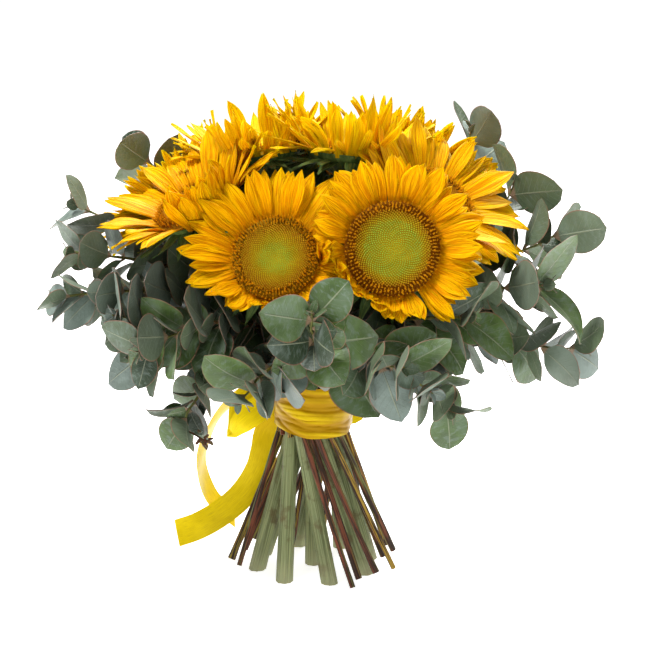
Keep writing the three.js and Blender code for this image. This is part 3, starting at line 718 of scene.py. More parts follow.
class Shade:
    """A number or a colour on its way through a material's nodes, with Python's own operators."""

    def __init__(self, dye: "Dye", socket: bpy.types.NodeSocket) -> None:
        """Wraps a socket.

        Args:
            dye: The material that it belongs to.
            socket: The output that holds it.
        """
        self.dye = dye
        self.socket = socket

    def _reckon(self, operation: str, first: Value, second: Value) -> "Shade":
        """Adds one Math node."""
        return self.dye.node("ShaderNodeMath", {"operation": operation}, {0: first, 1: second})

    def __add__(self, other: Value) -> "Shade":
        """Adds."""
        return self._reckon("ADD", self, other)

    def __radd__(self, other: Value) -> "Shade":
        """Adds."""
        return self._reckon("ADD", other, self)

    def __sub__(self, other: Value) -> "Shade":
        """Takes away."""
        return self._reckon("SUBTRACT", self, other)

    def __rsub__(self, other: Value) -> "Shade":
        """Takes this from a number."""
        return self._reckon("SUBTRACT", other, self)

    def __mul__(self, other: Value) -> "Shade":
        """Multiplies."""
        return self._reckon("MULTIPLY", self, other)

    def __rmul__(self, other: Value) -> "Shade":
        """Multiplies."""
        return self._reckon("MULTIPLY", other, self)

    def __abs__(self) -> "Shade":
        """Drops the sign."""
        return self.dye.node("ShaderNodeMath", {"operation": "ABSOLUTE"}, {0: self})


class Dye:
    """A material and its nodes."""

    def __init__(self, name: str, **settings: float | tuple[float, ...]) -> None:
        """Starts a material.

        Args:
            name: Its name.
            settings: Values of the shader's own sockets, with underscores for spaces.
        """
        self.material = bpy.data.materials.new(name)
        self.material.use_nodes = True
        self.tree = self.material.node_tree
        self.shader = self.tree.nodes["Principled BSDF"]
        self.fill(self.shader, {socket.replace("_", " "): value for socket, value in settings.items()})

    def node(self, kind: str, settings: dict, inputs: dict, output: int | str = 0) -> Shade:
        """Adds any node.

        Args:
            kind: The node's type.
            settings: Its settings, where stops are a colour ramp's places and colours.
            inputs: Values or links of its sockets, by name or number.
            output: Which of its outputs is wanted.

        Returns:
            That output.
        """
        made = self.tree.nodes.new(kind)
        for setting, value in settings.items():
            if setting != "stops":
                setattr(made, setting, value)
                continue
            ramp = made.color_ramp.elements
            while len(ramp) < len(value):
                ramp.new(0.5)
            for stop, (place, colour) in zip(ramp, value):
                stop.position = place
                stop.color = (*colour, 1)
        self.fill(made, inputs)
        return Shade(self, made.outputs[output])

    def fill(self, made: bpy.types.Node, inputs: dict) -> None:
        """Gives a node's sockets their values or links.

        Args:
            made: The node.
            inputs: Values or links, by the socket's name or number.
        """
        for socket, value in inputs.items():
            if isinstance(value, Shade):
                self.tree.links.new(value.socket, made.inputs[socket])
            else:
                made.inputs[socket].default_value = value

    def surface(self) -> tuple[Shade, Shade]:
        """Gives the place on the surface, across and along."""
        place = self.node("ShaderNodeUVMap", {"uv_map": "lay"}, {})
        return self.split(place)[:2]

    def traits(self) -> tuple[Shade, Shade, Shade]:
        """Gives the three traits of the copy that the surface belongs to."""
        traits = self.node("ShaderNodeAttribute", {"attribute_name": "traits"}, {}, "Vector")
        return self.split(traits)

    def split(self, vector: Shade) -> tuple[Shade, Shade, Shade]:
        """Splits a vector into its three numbers."""
        first = self.node("ShaderNodeSeparateXYZ", {}, {0: vector}, 0)
        outputs = first.socket.node.outputs
        return first, Shade(self, outputs[1]), Shade(self, outputs[2])

    def join(self, x: Value, y: Value, z: Value) -> Shade:
        """Joins three numbers into a vector."""
        return self.node("ShaderNodeCombineXYZ", {}, {0: x, 1: y, 2: z})

    def place(self) -> Shade:
        """Gives the place in the object's own coordinates."""
        return self.node("ShaderNodeTexCoord", {}, {}, "Object")

    def noise(self, vector: Shade, scale: float, detail: float = 3) -> Shade:
        """Gives a soft noise."""
        return self.node("ShaderNodeTexNoise", {}, {"Vector": vector, "Scale": scale, "Detail": detail}, 0)

    def streaks(self, pattern: Pattern, across: Shade, along: Shade, copy: Value = 0.0) -> Shade:
        """Gives a soft noise that is stretched over the surface.

        Args:
            pattern: How dense it is, how far it is shifted, and its detail.
            across: The place across the surface.
            along: The place along it.
            copy: The trait that tells copies apart.

        Returns:
            The noise.
        """
        wide, long, shift, detail = pattern
        return self.noise(self.join(across * wide, along * long, copy * shift), 1.0, detail)

    def step(self, value: Shade, low: float, high: float, out: Span = (0, 1)) -> Shade:
        """Rises smoothly between two values."""
        settings = {"interpolation_type": "SMOOTHSTEP"}
        return self.node("ShaderNodeMapRange", settings, {0: value, 1: low, 2: high, 3: out[0], 4: out[1]})

    def ramp(self, value: Shade, stops: list[tuple[float, Colour]]) -> Shade:
        """Reads colours from a ramp."""
        return self.node("ShaderNodeValToRGB", {"stops": stops}, {0: value})

    def blend(self, share: Value, first: Value, second: Value) -> Shade:
        """Mixes two colours."""
        colours = [c if isinstance(c, Shade) else (*c, 1) for c in (first, second)]
        return self.node("ShaderNodeMix", {"data_type": "RGBA"}, {0: share, 6: colours[0], 7: colours[1]}, 2)

    def wear(
        self, colour: Shade, roughness: Value, height: Shade, strength: float, depth: float
    ) -> bpy.types.Material:
        """Puts colour, roughness and relief on the shader.

        Args:
            colour: The base colour.
            roughness: The roughness.
            height: The relief's height.
            strength: How strongly it shows.
            depth: Its depth in metres.

        Returns:
            The finished material.
        """
        relief = self.node("ShaderNodeBump", {}, {"Strength": strength, "Distance": depth, "Height": height})
        self.fill(self.shader, {"Base Color": colour, "Roughness": roughness, "Normal": relief})
        return self.material


@dataclass(frozen=True)
class PetalFinish:
    """Golden petals: streaked lengthwise, with a deeper orange at the root, and painted paler on the upper
    heads as painted light.
    """

    root: Colour = (0.40, 0.10, 0.0005)
    low: Colour = (0.74, 0.29, 0.0005)
    middle: Colour = (0.86, 0.40, 0.0005)
    tip: Colour = (0.94, 0.50, 0.001)
    # The pale colour that painted light turns the petals towards
    pale: Colour = (1.0, 0.66, 0.003)
    streak: Colour = (0.46, 0.14, 0.0003)
    stops: tuple[float, ...] = (0, 0.14, 0.42, 1)
    streaks: Pattern = (15, 1.6, 40, 4)
    # How strongly the petals are streaked, and how much less where painted light falls
    streaked: Span = (0.85, 0.3)

    def dye(self) -> bpy.types.Material:
        """Makes the material."""
        dye = Dye(
            "petal_gold",
            Subsurface_Weight=0.5,
            Subsurface_Scale=1.6 * MM,
            Subsurface_Radius=(1.0, 0.75, 0.03),
            Specular_IOR_Level=0.22,
            Specular_Tint=(1.0, 0.7, 0.02, 1),
        )
        across, along = dye.surface()
        tone, paleness, _ = dye.traits()
        ground = dye.ramp(along, list(zip(self.stops, (self.root, self.low, self.middle, self.tip))))
        # Painted light: the petals are turned paler by the flower's painted light, most on the upper heads
        ground = dye.blend(paleness, ground, self.pale)
        lines = dye.streaks(self.streaks, across, along, tone)
        ribs = dye.step(lines, 0.38, 0.6)
        usual, less = self.streaked
        colour = dye.blend((1 - ribs) * (usual - paleness * less), ground, self.streak)
        colour = dye.blend(dye.step(tone, 0, 1, (0, 0.3)), colour, self.low)
        roughness = dye.step(lines, 0.3, 0.7, (0.66, 0.48))
        return dye.wear(colour, roughness, lines, strength=1.0, depth=1.6 * MM)


@dataclass(frozen=True)
class DiscFinish:
    """Seed disc: green closed florets in the middle, then brown open ones with golden tips, and painted shade
    in the gaps and low on the florets.
    """

    green: Colour = (0.29, 0.47, 0.045)
    olive: Colour = (0.48, 0.36, 0.01)
    amber: Colour = (0.45, 0.23, 0.008)
    brown: Colour = (0.33, 0.11, 0.003)
    dark: Colour = (0.15, 0.042, 0.002)
    gold: Colour = (0.72, 0.32, 0.004)
    stops: tuple[float, ...] = (0, 0.3, 0.55, 0.75, 1)

    def dye(self) -> bpy.types.Material:
        """Makes the material."""
        dye = Dye("disc_florets", Specular_IOR_Level=0.2, Specular_Tint=(1.0, 0.8, 0.1, 1))
        # The age trait also carries the painted shade in the gaps and low on the florets' sides
        age, tone, gilt = dye.traits()
        ages = (self.green, self.olive, self.amber, self.brown, self.dark)
        ground = dye.ramp(age, list(zip(self.stops, ages)))
        grain = dye.noise(dye.place(), scale=900)
        colour = dye.blend(dye.step(tone, 0, 1, (0, 0.4)), ground, self.olive)
        colour = dye.blend(dye.step(grain, 0.35, 0.7, (0.0, 0.2)), colour, self.dark)
        colour = dye.blend(dye.step(gilt, 0.2, 0.9), colour, self.gold)
        return dye.wear(colour, 0.72, grain, strength=0.4, depth=0.4 * MM)


@dataclass(frozen=True)
class StalkFinish:
    """Thick green stems with pale fibres and brown bruises, and darker green bracts."""

    pale: Colour = (0.35, 0.39, 0.17)
    fibre: Colour = (0.10, 0.12, 0.04)
    bruise: Colour = (0.12, 0.075, 0.022)
    bract: Colour = (0.05, 0.10, 0.016)
    bract_edge: Colour = (0.16, 0.23, 0.05)
    cut: Colour = (0.44, 0.44, 0.24)
    fibres: Pattern = (26, 7, 30, 5)
    bract_marks: Pattern = (6, 2, 9, 3)

    def dye(self) -> bpy.types.Material:
        """Makes the material."""
        dye = Dye("stalk_green", Subsurface_Weight=0.06, Subsurface_Scale=3 * MM, Specular_IOR_Level=0.4)
        across, along = dye.surface()
        tone, leafy, cut = dye.traits()
        fibres = dye.streaks(self.fibres, across, along, tone)
        stem = dye.blend(dye.step(fibres, 0.36, 0.64, (0, 0.9)), self.pale, self.fibre)
        spots = dye.noise(dye.place(), scale=60, detail=5)
        stem = dye.blend(dye.step(spots, 0.55, 0.68, (0, 0.8)), stem, self.bruise)
        stem = dye.blend(dye.step(tone, 0.3, 1, (0, 0.4)), stem, self.fibre)
        marks = dye.streaks(self.bract_marks, across, along, tone)
        leaf = dye.blend(dye.step(marks, 0.4, 0.7), self.bract, self.bract_edge)
        colour = dye.blend(leafy, dye.blend(cut, stem, self.cut), leaf)
        return dye.wear(colour, 0.56, fibres, strength=0.9, depth=1.4 * MM)


@dataclass(frozen=True)
class LeafFinish:
    """Eucalyptus leaf: a waxy blue bloom over grey green, pale veins and a thin reddish margin."""

    blue: Colour = (0.17, 0.22, 0.19)
    grey: Colour = (0.075, 0.112, 0.056)
    green: Colour = (0.075, 0.135, 0.02)
    dark: Colour = (0.016, 0.032, 0.012)
    under: Colour = (0.14, 0.175, 0.115)
    vein: Colour = (0.26, 0.28, 0.18)
    margin: Colour = (0.24, 0.10, 0.06)
    petiole: Colour = (0.26, 0.17, 0.10)
    stops: tuple[float, ...] = (0, 0.28, 0.62, 1)
    streaks: Pattern = (5, 14, 20, 5)
    side_veins: float = 9.0
    vein_slant: float = 0.24

    def dye(self) -> bpy.types.Material:
        """Makes the material."""
        dye = Dye("eucalyptus_leaf", Specular_IOR_Level=0.45, Sheen_Weight=0.05, Sheen_Roughness=0.5)
        across, along = dye.surface()
        tone, under, _ = dye.traits()
        off = abs(across - 0.5) * 2
        ground = dye.ramp(tone, list(zip(self.stops, (self.blue, self.grey, self.green, self.dark))))
        patches = dye.noise(dye.place(), scale=55, detail=6)
        streaks = dye.streaks(self.streaks, across, along, tone)
        ground = dye.blend(dye.step(patches, 0.46, 0.7, (0, 0.3)), ground, self.blue)
        ground = dye.blend(dye.step(patches, 0.54, 0.36, (0, 0.4)), ground, self.dark)
        ground = dye.blend(dye.step(streaks, 0.52, 0.64, (0, 0.3)), ground, self.blue)
        ground = dye.blend(under * 0.55, ground, self.under)
        slant = (along - off * self.vein_slant) * self.side_veins
        wave = dye.node("ShaderNodeMath", {"operation": "PINGPONG"}, {0: slant, 1: 0.5})
        side_veins = dye.step(wave, 0.06, 0.0) * dye.step(off, 0.96, 0.6)
        midrib = dye.step(off, 0.05, 0.015)
        colour = dye.blend(side_veins * 0.13, ground, self.vein)
        colour = dye.blend(midrib * 0.6, colour, self.vein)
        colour = dye.blend(dye.step(off, 0.94, 0.99, (0, 0.75)), colour, self.margin)
        colour = dye.blend(dye.step(along, 0.13, 0.08), colour, self.petiole)
        relief = dye.noise(dye.place(), scale=420) * 0.5 + streaks * 0.5 - side_veins * 0.4 - midrib
        roughness = dye.step(patches, 0.35, 0.7, (0.42, 0.62))
        return dye.wear(colour, roughness, relief, strength=0.6, depth=0.9 * MM)


@dataclass(frozen=True)
class TwigFinish:
    """Twig bark: reddish brown, in places yellow or green."""

    red: Colour = (0.18, 0.05, 0.022)
    brown: Colour = (0.035, 0.018, 0.01)
    tan: Colour = (0.42, 0.26, 0.03)
    green: Colour = (0.13, 0.145, 0.035)
    grain: Pattern = (5, 70, 30, 4)
    stripes: Pattern = (3, 9, 50, 2)

    def dye(self) -> bpy.types.Material:
        """Makes the material."""
        dye = Dye("twig_bark", Specular_IOR_Level=0.22)
        across, along = dye.surface()
        tone, height, _ = dye.traits()
        grain = dye.streaks(self.grain, across, along, tone)
        stripes = dye.streaks(self.stripes, across, along, tone)
        fresh = dye.blend(dye.step(tone, 0.3, 0.9), self.green, self.tan)
        bark = dye.blend(dye.step(stripes + tone * 0.16, 0.55, 0.61), self.red, fresh)
        bark = dye.blend(dye.step(grain, 0.4, 0.58), bark, self.brown)
        bark = dye.blend(dye.step(height, 0.4, 0.9, (0, 0.8)), bark, self.green)
        return dye.wear(bark, 0.5, grain, strength=0.9, depth=1 * MM)


@dataclass(frozen=True)
class RibbonFinish:
    """Yellow satin: fine threads along the ribbon with a painted sheen, painted shade in folds and by the
    knot, and a soft sheen.
    """

    light: Colour = (0.93, 0.70, 0.008)
    shade: Colour = (0.60, 0.38, 0.001)
    # The colour of the painted shade
    painted_shade: Colour = (0.34, 0.17, 0.0008)
    crush: Pattern = (5, 3, 0, 4)
    threads: Pattern = (90, 2, 0, 2)

    def dye(self) -> bpy.types.Material:
        """Makes the material."""
        dye = Dye("ribbon_satin", Specular_IOR_Level=0.35, Specular_Tint=(1.0, 0.85, 0.15, 1))
        across, along = dye.surface()
        painted_shade_share, _, _ = dye.traits()
        crush = dye.streaks(self.crush, across, along)
        threads = dye.streaks(self.threads, across, along)
        weave_and_sheen = threads * 0.8 + crush * 0.2
        # Painted sheen and painted shade: the colour runs from the shaded copy of the yellow to the lit one
        # along the threads and crumples
        colour = dye.blend(dye.step(weave_and_sheen, 0.3, 0.6, (0.4, 1)), self.shade, self.light)
        # Painted shade: darker in the band's fold valleys and near the bow's knot
        colour = dye.blend(dye.step(painted_shade_share, 0.15, 0.75), colour, self.painted_shade)
        roughness = dye.step(crush, 0.3, 0.7, (0.3, 0.4))
        return dye.wear(colour, roughness, weave_and_sheen, strength=0.1, depth=0.4 * MM)


# Forms of petals and leaves


@dataclass
class PetalForm:
    """How a petal is shaped: ribbed lengthwise, waved at its edges and pointed.

    Args:
        mould: The blade that it is laid from.
        thickness: Its thickness at the root.
        rib: The height of its lengthwise ribs.
        wave: The height of its edge's waves.
        overlap: How far it reaches in behind its root, as a share of its length.
        places: Shares of its length.
        halves: Its half width there, as a share of its width.
        widths: The shares of its width that are drawn from.
        rates: The rates of its edge's waves that are drawn from.
        channel: How far its edges rise, as shares of its half width.
        twist: How far it twists, as shares of its half width.
        curl: How far its outer part curls, as shares of its length.
        curl_from: The share of its length at which it starts to curl.
        bow: How far its middle bows to one side, as a share of its length.
        veer: How far its tip veers to one side, as a share of its length.
        tip_thinner: How much thinner it is at the tip, as a share.
        edge_thinner: How much thinner it is at its edges, as a share.
    """

    mould: Mould
    thickness: float = 0.9 * MM
    rib: float = 0.7 * MM
    wave: float = 1.9 * MM
    overlap: float = 0.11
    places: tuple[float, ...] = (0.0, 0.1, 0.26, 0.42, 0.6, 0.78, 0.9, 0.97, 1.0)
    halves: tuple[float, ...] = (0.22, 0.29, 0.40, 0.48, 0.48, 0.36, 0.19, 0.07, 0.012)
    widths: Span = (0.78, 1.04)
    rates: Span = (4, 9)
    channel: Span = (0.02, 0.3)
    twist: Span = (-0.45, 0.45)
    curl: Span = (-0.35, 0.5)
    curl_from: float = 0.55
    bow: float = 0.05
    veer: float = 0.04
    tip_thinner: float = 0.55
    edge_thinner: float = 0.75

    def lay(self, patch: Patchwork, blade: Blade, rng: np.random.Generator, traits: Sequence[float]) -> None:
        """Lays one petal along a blade's line.

        Args:
            patch: The piece that it becomes part of.
            blade: Its line.
            rng: Draws its small differences.
            traits: Its traits.
        """
        share, across, top = self.mould.spots.T
        half = blade.width * read_curve(self.places, self.halves, share) * rng.uniform(*self.widths)
        body = np.sin(math.pi * np.clip(share, 0.0, 1.0)) ** 0.6
        ribs = self.rib * np.cos(across * math.pi * rng.choice([2.5, 3.0])) * body
        channel = half * across**2 * rng.uniform(*self.channel)
        ripple = np.sin(share * rng.uniform(*self.rates) + rng.uniform(*ANY_ANGLE)) * share
        wave = self.wave * across * ripple * rng.uniform(0.3, 1)
        twist = half * across * share**2 * rng.uniform(*self.twist)
        curl = blade.length * np.clip(share - self.curl_from, 0, 1) ** 2 * rng.uniform(*self.curl)
        thickness = self.thickness * (1 - self.tip_thinner * share) * (1 - self.edge_thinner * across**2)
        bow = self.bow * np.sin(share * math.pi) * rng.uniform(-1, 1)
        veer = self.veer * share**2 * rng.uniform(-1, 1)
        reach = share - self.overlap * (1 - share) ** 4
        lift = ribs + channel + wave + twist + curl + thickness * (top - 0.5)
        spots = blade.spots(reach, across * half + blade.length * (bow + veer), lift)
        patch.lay(self.mould, spots, columns((across + 1) / 2, share), traits)


@dataclass
class LeafForm:
    """How a eucalyptus leaf is shaped: round or broadly oval on a short stalk, softly cupped.

    Args:
        mould: The blade that it is laid from.
        thickness: Its thickness at the midrib.
        stalk: The stalk's half width.
        stalk_share: The share of the length that is stalk.
        stalk_depth: The stalk's thickness.
        broadest: The powers that set where it is broadest.
        fullness: The powers that set how full its outline is.
        rates: The rates of its edge's waves that are drawn from.
        wave: The height of its edge's waves, as a share of its half width.
        cup: How far its edges rise, as shares of its half width.
        twist: How far it twists and curls, as shares of its half width and its length.
        midrib: The midrib's half width, as a share of the leaf's.
        edge_thinner: How much thinner it is at its edges, as a share.
    """

    mould: Mould
    thickness: float = 0.7 * MM
    stalk: float = 0.65 * MM
    stalk_share: float = 0.09
    stalk_depth: float = 1.1 * MM
    broadest: Span = (0.72, 0.86)
    fullness: Span = (0.52, 0.68)
    rates: Span = (7, 12)
    wave: float = 0.03
    cup: Span = (-0.12, 0.26)
    twist: Span = (-0.3, 0.3)
    midrib: float = 0.09
    edge_thinner: float = 0.6

    def lay(self, patch: Patchwork, blade: Blade, rng: np.random.Generator, tone: float) -> None:
        """Lays one leaf along a blade's line.

        Args:
            patch: The piece that it becomes part of.
            blade: Its line.
            rng: Draws its small differences.
            tone: From blue to green.
        """
        raw, across, top = self.mould.spots.T
        share = raw + 0.035 * np.sin(2 * math.pi * raw)
        blade_share = np.clip((share - self.stalk_share) / (1 - self.stalk_share), 0, 1)
        full = np.sin(math.pi * blade_share ** rng.uniform(*self.broadest)) ** rng.uniform(*self.fullness)
        half = np.maximum(blade.width * 0.5 * full, self.stalk * (1 - 0.9 * (share > 0.5)))
        ripple = np.sin(share * rng.uniform(*self.rates) + rng.uniform(*ANY_ANGLE))
        wave = self.wave * half * ripple * np.abs(across)
        cup = half * np.abs(across) ** 1.6 * rng.uniform(*self.cup)
        twist = half * across * (share - 0.3) * rng.uniform(*self.twist)
        curl = blade.length * np.clip(share - 0.5, 0, 1) ** 2 * rng.uniform(*self.twist)
        rib = 0.45 * self.thickness * np.exp(-((across / self.midrib) ** 2))
        thickness = self.thickness * (1 - self.edge_thinner * np.abs(across)) + rib
        thickness = thickness + self.stalk_depth * (share < self.stalk_share)
        spots = blade.spots(share, across * half, wave + cup + twist + curl + thickness * (top - 0.5))
        patch.lay(self.mould, spots, columns((across + 1) / 2, share), columns(tone, 1 - top, 0.0))


# Sub-assemblies


def finish_piece(piece: bpy.types.Object, node: str) -> bpy.types.Object:
    """Puts a piece in its node's place on the body and reports it.

    Args:
        piece: The piece.
        node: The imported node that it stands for.

    Returns:
        The piece.
    """
    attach(piece, "root")
    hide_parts(node)
    triangles = sum(len(face.vertices) - 2 for face in piece.data.polygons)
    LOG.info("%s for %s: %d triangles", piece.name, node, triangles)
    return piece


def ruling(slot: tuple[float, float], height: float) -> np.ndarray:
    """Gives a point on a stem's straight line, which slants round the bunch's axis.

    Args:
        slot: Where the line crosses the waist.
        height: The point's height.

    Returns:
        The point.
    """
    above = (height - TIE_HEIGHT) * SLANT
    return np.array([slot[0] + above * slot[1], slot[1] - above * slot[0], height])


class Ripeness(Enum):
    """How far a disc's florets have opened: where they turn brown, and how olive the middle is."""

    YOUNG = (0.56, 0.1)
    OPENING = (0.28, 0.6)
    OPEN = (-0.25, 0.4)

    @property
    def brown_from(self) -> float:
        """The share of the radius from which the florets turn brown."""
        return self.value[0]

    @property
    def olive(self) -> float:
        """How olive the middle is, from 0 to 1."""
        return self.value[1]


@dataclass
class Floret:
    """One floret of a disc.

    Args:
        angle: Its angle round the disc.
        share: Its distance from the middle, as a share of the radius.
        width: Its width.
        height: Its height.
        lean: How far it leans out.
        gilt: How golden its tip is.
    """

    angle: float
    share: float
    width: float
    height: float
    lean: float
    gilt: float


@dataclass
class Sunflower:
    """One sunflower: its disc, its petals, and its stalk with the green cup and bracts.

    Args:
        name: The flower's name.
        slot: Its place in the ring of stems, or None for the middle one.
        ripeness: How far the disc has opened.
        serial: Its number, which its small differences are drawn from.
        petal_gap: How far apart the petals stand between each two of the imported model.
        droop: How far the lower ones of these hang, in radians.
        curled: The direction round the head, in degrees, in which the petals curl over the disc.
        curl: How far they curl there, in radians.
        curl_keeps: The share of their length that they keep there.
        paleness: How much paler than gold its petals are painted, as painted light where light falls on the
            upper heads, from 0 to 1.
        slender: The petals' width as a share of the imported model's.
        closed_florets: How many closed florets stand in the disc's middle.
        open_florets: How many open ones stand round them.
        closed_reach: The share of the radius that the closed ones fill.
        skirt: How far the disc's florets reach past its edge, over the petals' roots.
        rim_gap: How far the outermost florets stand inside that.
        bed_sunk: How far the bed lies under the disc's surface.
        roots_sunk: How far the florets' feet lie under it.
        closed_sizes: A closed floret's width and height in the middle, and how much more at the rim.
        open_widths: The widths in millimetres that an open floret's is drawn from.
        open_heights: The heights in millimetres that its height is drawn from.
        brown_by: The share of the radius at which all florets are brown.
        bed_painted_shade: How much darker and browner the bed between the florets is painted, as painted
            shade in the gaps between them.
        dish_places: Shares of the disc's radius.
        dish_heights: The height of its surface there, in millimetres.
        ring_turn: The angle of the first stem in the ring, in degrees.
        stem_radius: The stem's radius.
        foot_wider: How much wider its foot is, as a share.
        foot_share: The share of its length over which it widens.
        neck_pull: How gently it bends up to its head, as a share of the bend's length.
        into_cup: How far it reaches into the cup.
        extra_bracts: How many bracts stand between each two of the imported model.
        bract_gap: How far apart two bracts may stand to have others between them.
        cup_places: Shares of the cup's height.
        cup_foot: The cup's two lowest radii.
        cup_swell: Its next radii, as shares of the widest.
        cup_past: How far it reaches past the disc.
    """

    name: str
    slot: int | None
    ripeness: Ripeness
    serial: int
    petal_gap: float = 4.3 * MM
    droop: float = 0.1
    curled: float | None = None
    curl: float = 1.7
    curl_keeps: float = 0.85
    paleness: float = 0.0
    slender: float = 1.0
    closed_florets: int = 1000
    open_florets: int = 460
    closed_reach: float = 0.8
    skirt: float = 2.2 * MM
    rim_gap: float = 0.6 * MM
    bed_sunk: float = 0.6 * MM
    roots_sunk: float = 0.7 * MM
    closed_sizes: tuple[Span, Span] = ((1.1 * MM, 0.95 * MM), (1.3 * MM, 1.3 * MM))
    open_widths: Span = (1.1, 1.7)
    open_heights: Span = (2.2, 5.0)
    brown_by: float = 0.95
    bed_painted_shade: float = 0.4
    dish_places: tuple[float, ...] = (0, 0.3, 0.6, 0.82, 0.93, 1.0)
    dish_heights: tuple[float, ...] = (-1.6, -1.0, 0.6, 1.9, 1.4, -0.6)
    ring_turn: float = -8.0
    stem_radius: float = 6.4 * MM
    foot_wider: float = 0.16
    foot_share: float = 0.256
    neck_pull: float = 0.36
    into_cup: float = 4 * MM
    extra_bracts: int = 3
    bract_gap: float = 40 * MM
    cup_places: tuple[float, ...] = (0, 0.2, 0.45, 0.8, 1.0)
    cup_foot: Span = (6.6 * MM, 14 * MM)
    cup_swell: tuple[float, ...] = (0.66, 0.93, 1.0)
    cup_past: float = 2.6 * MM
    head: Head = field(init=False)

    def __post_init__(self) -> None:
        """Reads where the head lies."""
        self.head = Head.of(self.name)

    def build(self, kit: "Kit") -> None:
        """Builds the flower's three pieces.

        Args:
            kit: The moulds and materials.
        """
        rng = np.random.default_rng(FLOWER_SEED + self.serial)
        self.build_disc(kit, rng)
        self.build_petals(kit, rng)
        self.build_stalk(kit, rng)

    def dish(self, share: np.ndarray) -> np.ndarray:
        """Gives the height of the disc's surface at shares of its radius."""
        return MM * read_curve(self.dish_places, self.dish_heights, share)

    def age(self, share: np.ndarray) -> np.ndarray:
        """Gives how brown the disc is at shares of its radius."""
        start = self.ripeness.brown_from
        ripe = np.clip((share - start) / (self.brown_by - start), 0, 1)
        return np.clip(0.14 * share + 0.8 * ripe, 0, 1)

    def build_disc(self, kit: "Kit", rng: np.random.Generator) -> None:
        """Builds the bed of the disc and its spiral rows of florets."""
        head, patch, bed = self.head, Patchwork(), kit.bed
        share = 1 - bed.share
        below = share > 0.999
        radius = (head.radius + self.skirt) * np.where(below, 1.0, np.maximum(share, 0.02))
        lift = np.where(below, -DISC_DEPTH, self.dish(share) - self.bed_sunk)
        # Painted shade: the bed is painted darker in the gaps between the florets
        traits = columns(np.clip(self.age(share) + self.bed_painted_shade, 0, 1), self.ripeness.olive, 0.0)
        patch.lay(bed, head.round_point(bed.angle, radius, lift), bed.spots[:, :2], traits)
        for i in range(self.closed_florets):
            r = self.closed_reach * math.sqrt((i + 0.5) / self.closed_florets)
            width, height = (middle + more * r for middle, more in self.closed_sizes)
            gilt = 0.25 if r > 0.5 else 0.05
            floret = Floret(GOLDEN_ANGLE * i, r, width, height, 0.05 * rng.standard_normal(), gilt)
            self.plant(patch, kit.bud, floret, rng)
        for i in range(self.open_florets):
            ring = (1.0 - self.closed_reach) * ((i * GOLDEN_SHARE) % 1)
            r = self.closed_reach + ring + 0.01 * rng.standard_normal()
            width, height = rng.uniform(*self.open_widths) * MM, rng.uniform(*self.open_heights) * MM
            lean = 0.3 * rng.standard_normal()
            floret = Floret(GOLDEN_ANGLE * i * 1.7, min(r, 1.0), width, height, lean, 1.0)
            self.plant(patch, kit.open_floret, floret, rng)
        piece = patch.sew("florets_" + self.name, [kit.disc], sharp=60)
        finish_piece(piece, "disc_" + self.name)

    def plant(self, patch: Patchwork, mould: Mould, floret: Floret, rng: np.random.Generator) -> None:
        """Plants one floret on the disc.

        Args:
            patch: The disc.
            mould: The floret's shape.
            floret: Where it stands, and how.
            rng: Draws its small differences.
        """
        head, share = self.head, np.array([floret.share])
        radius = share * (head.radius + self.skirt - self.rim_gap)
        root = head.round_point(np.array([floret.angle]), radius, self.dish(share))[0]
        gap = root - head.centre
        out = unit(gap - head.facing * (gap @ head.facing) + head.across * 1e-9)
        axis = unit(head.facing + out * (floret.lean + 0.35 * (floret.share - 0.6)))
        side = unit(out - axis * (out @ axis))
        side, _ = swing(side, np.cross(axis, side), rng.uniform(*ANY_ANGLE))
        rise = mould.spots[:, 2]
        spots = mould.stand(root, axis, side, floret.width, floret.height * rise - self.roots_sunk)
        age = max(float(self.age(share)[0]) + 0.05 * rng.standard_normal(), 0)
        tips = np.clip(rise - 0.55, 0, 1) * 2.2 * floret.gilt * rng.uniform(0.4, 1.1)
        olive = self.ripeness.olive * rng.uniform(0.4, 1)
        # Painted shade: each floret is painted darker low on its sides, where the gaps between florets lie
        traits = columns(age + 0.2 * np.clip(0.9 - rise, 0, 1), olive, np.clip(tips, 0, 1))
        patch.lay(mould, spots, mould.spots[:, :2], traits)

    def around(self, blades: list[Blade]) -> list[tuple[Blade, Blade]]:
        """Pairs each blade with the one that follows it round the head."""
        ordered = sorted(blades, key=lambda blade: self.head.angle_of(blade.root))
        return list(zip(ordered, ordered[1:] + ordered[:1]))

    def curl_over(self, petal: Blade, rng: np.random.Generator) -> Blade:
        """Curls a petal over the disc where the head's petals do.

        Args:
            petal: The petal's line.
            rng: Draws how far it curls.

        Returns:
            Its line after that.
        """
        if self.curled is None:
            return petal
        wanted, _ = swing(self.head.across, self.head.beside, math.radians(self.curled))
        out = unit(petal.root - self.head.centre)
        near = max(0.0, float(out @ wanted)) ** 2 * rng.uniform(0.3, 1.3)
        keeps = 1 - (1 - self.curl_keeps) * near
        return replace(petal, turn=petal.turn + self.curl * near, length=petal.length * keeps)

    def build_petals(self, kit: "Kit", rng: np.random.Generator) -> None:
        """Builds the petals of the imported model, and more between each two."""
        blades = Lattice("petals_" + self.name).blades({3: (PETAL_SHARES, 0.5)})
        patch = Patchwork()
        for blade in blades:
            blade.width *= self.slender
        for blade, following in self.around(blades):
            kit.petal.lay(patch, self.curl_over(blade, rng), rng, (rng.uniform(0, 1), self.paleness, 0))
            count = int(float(np.linalg.norm(following.root - blade.root)) / self.petal_gap)
            for i in range(count):
                rise = rng.uniform(-0.2, 0.12) - (self.droop * rng.uniform(0.6, 1.5) if i % 2 else 0.0)
                share = (i + 0.5 + rng.uniform(-0.3, 0.3)) / count
                between = blade.between(following, share, rise, rng.uniform(0.8, 1.04))
                between.width *= rng.uniform(0.68, 1.0)
                petal = self.curl_over(between, rng)
                kit.petal.lay(patch, petal, rng, (rng.uniform(0.1, 1), self.paleness, 0))
        LOG.info("%s: %d petals in the packed model", self.name, len(blades))
        piece = patch.sew("rays_" + self.name, [kit.gold], sharp=80)
        finish_piece(piece, "petals_" + self.name)

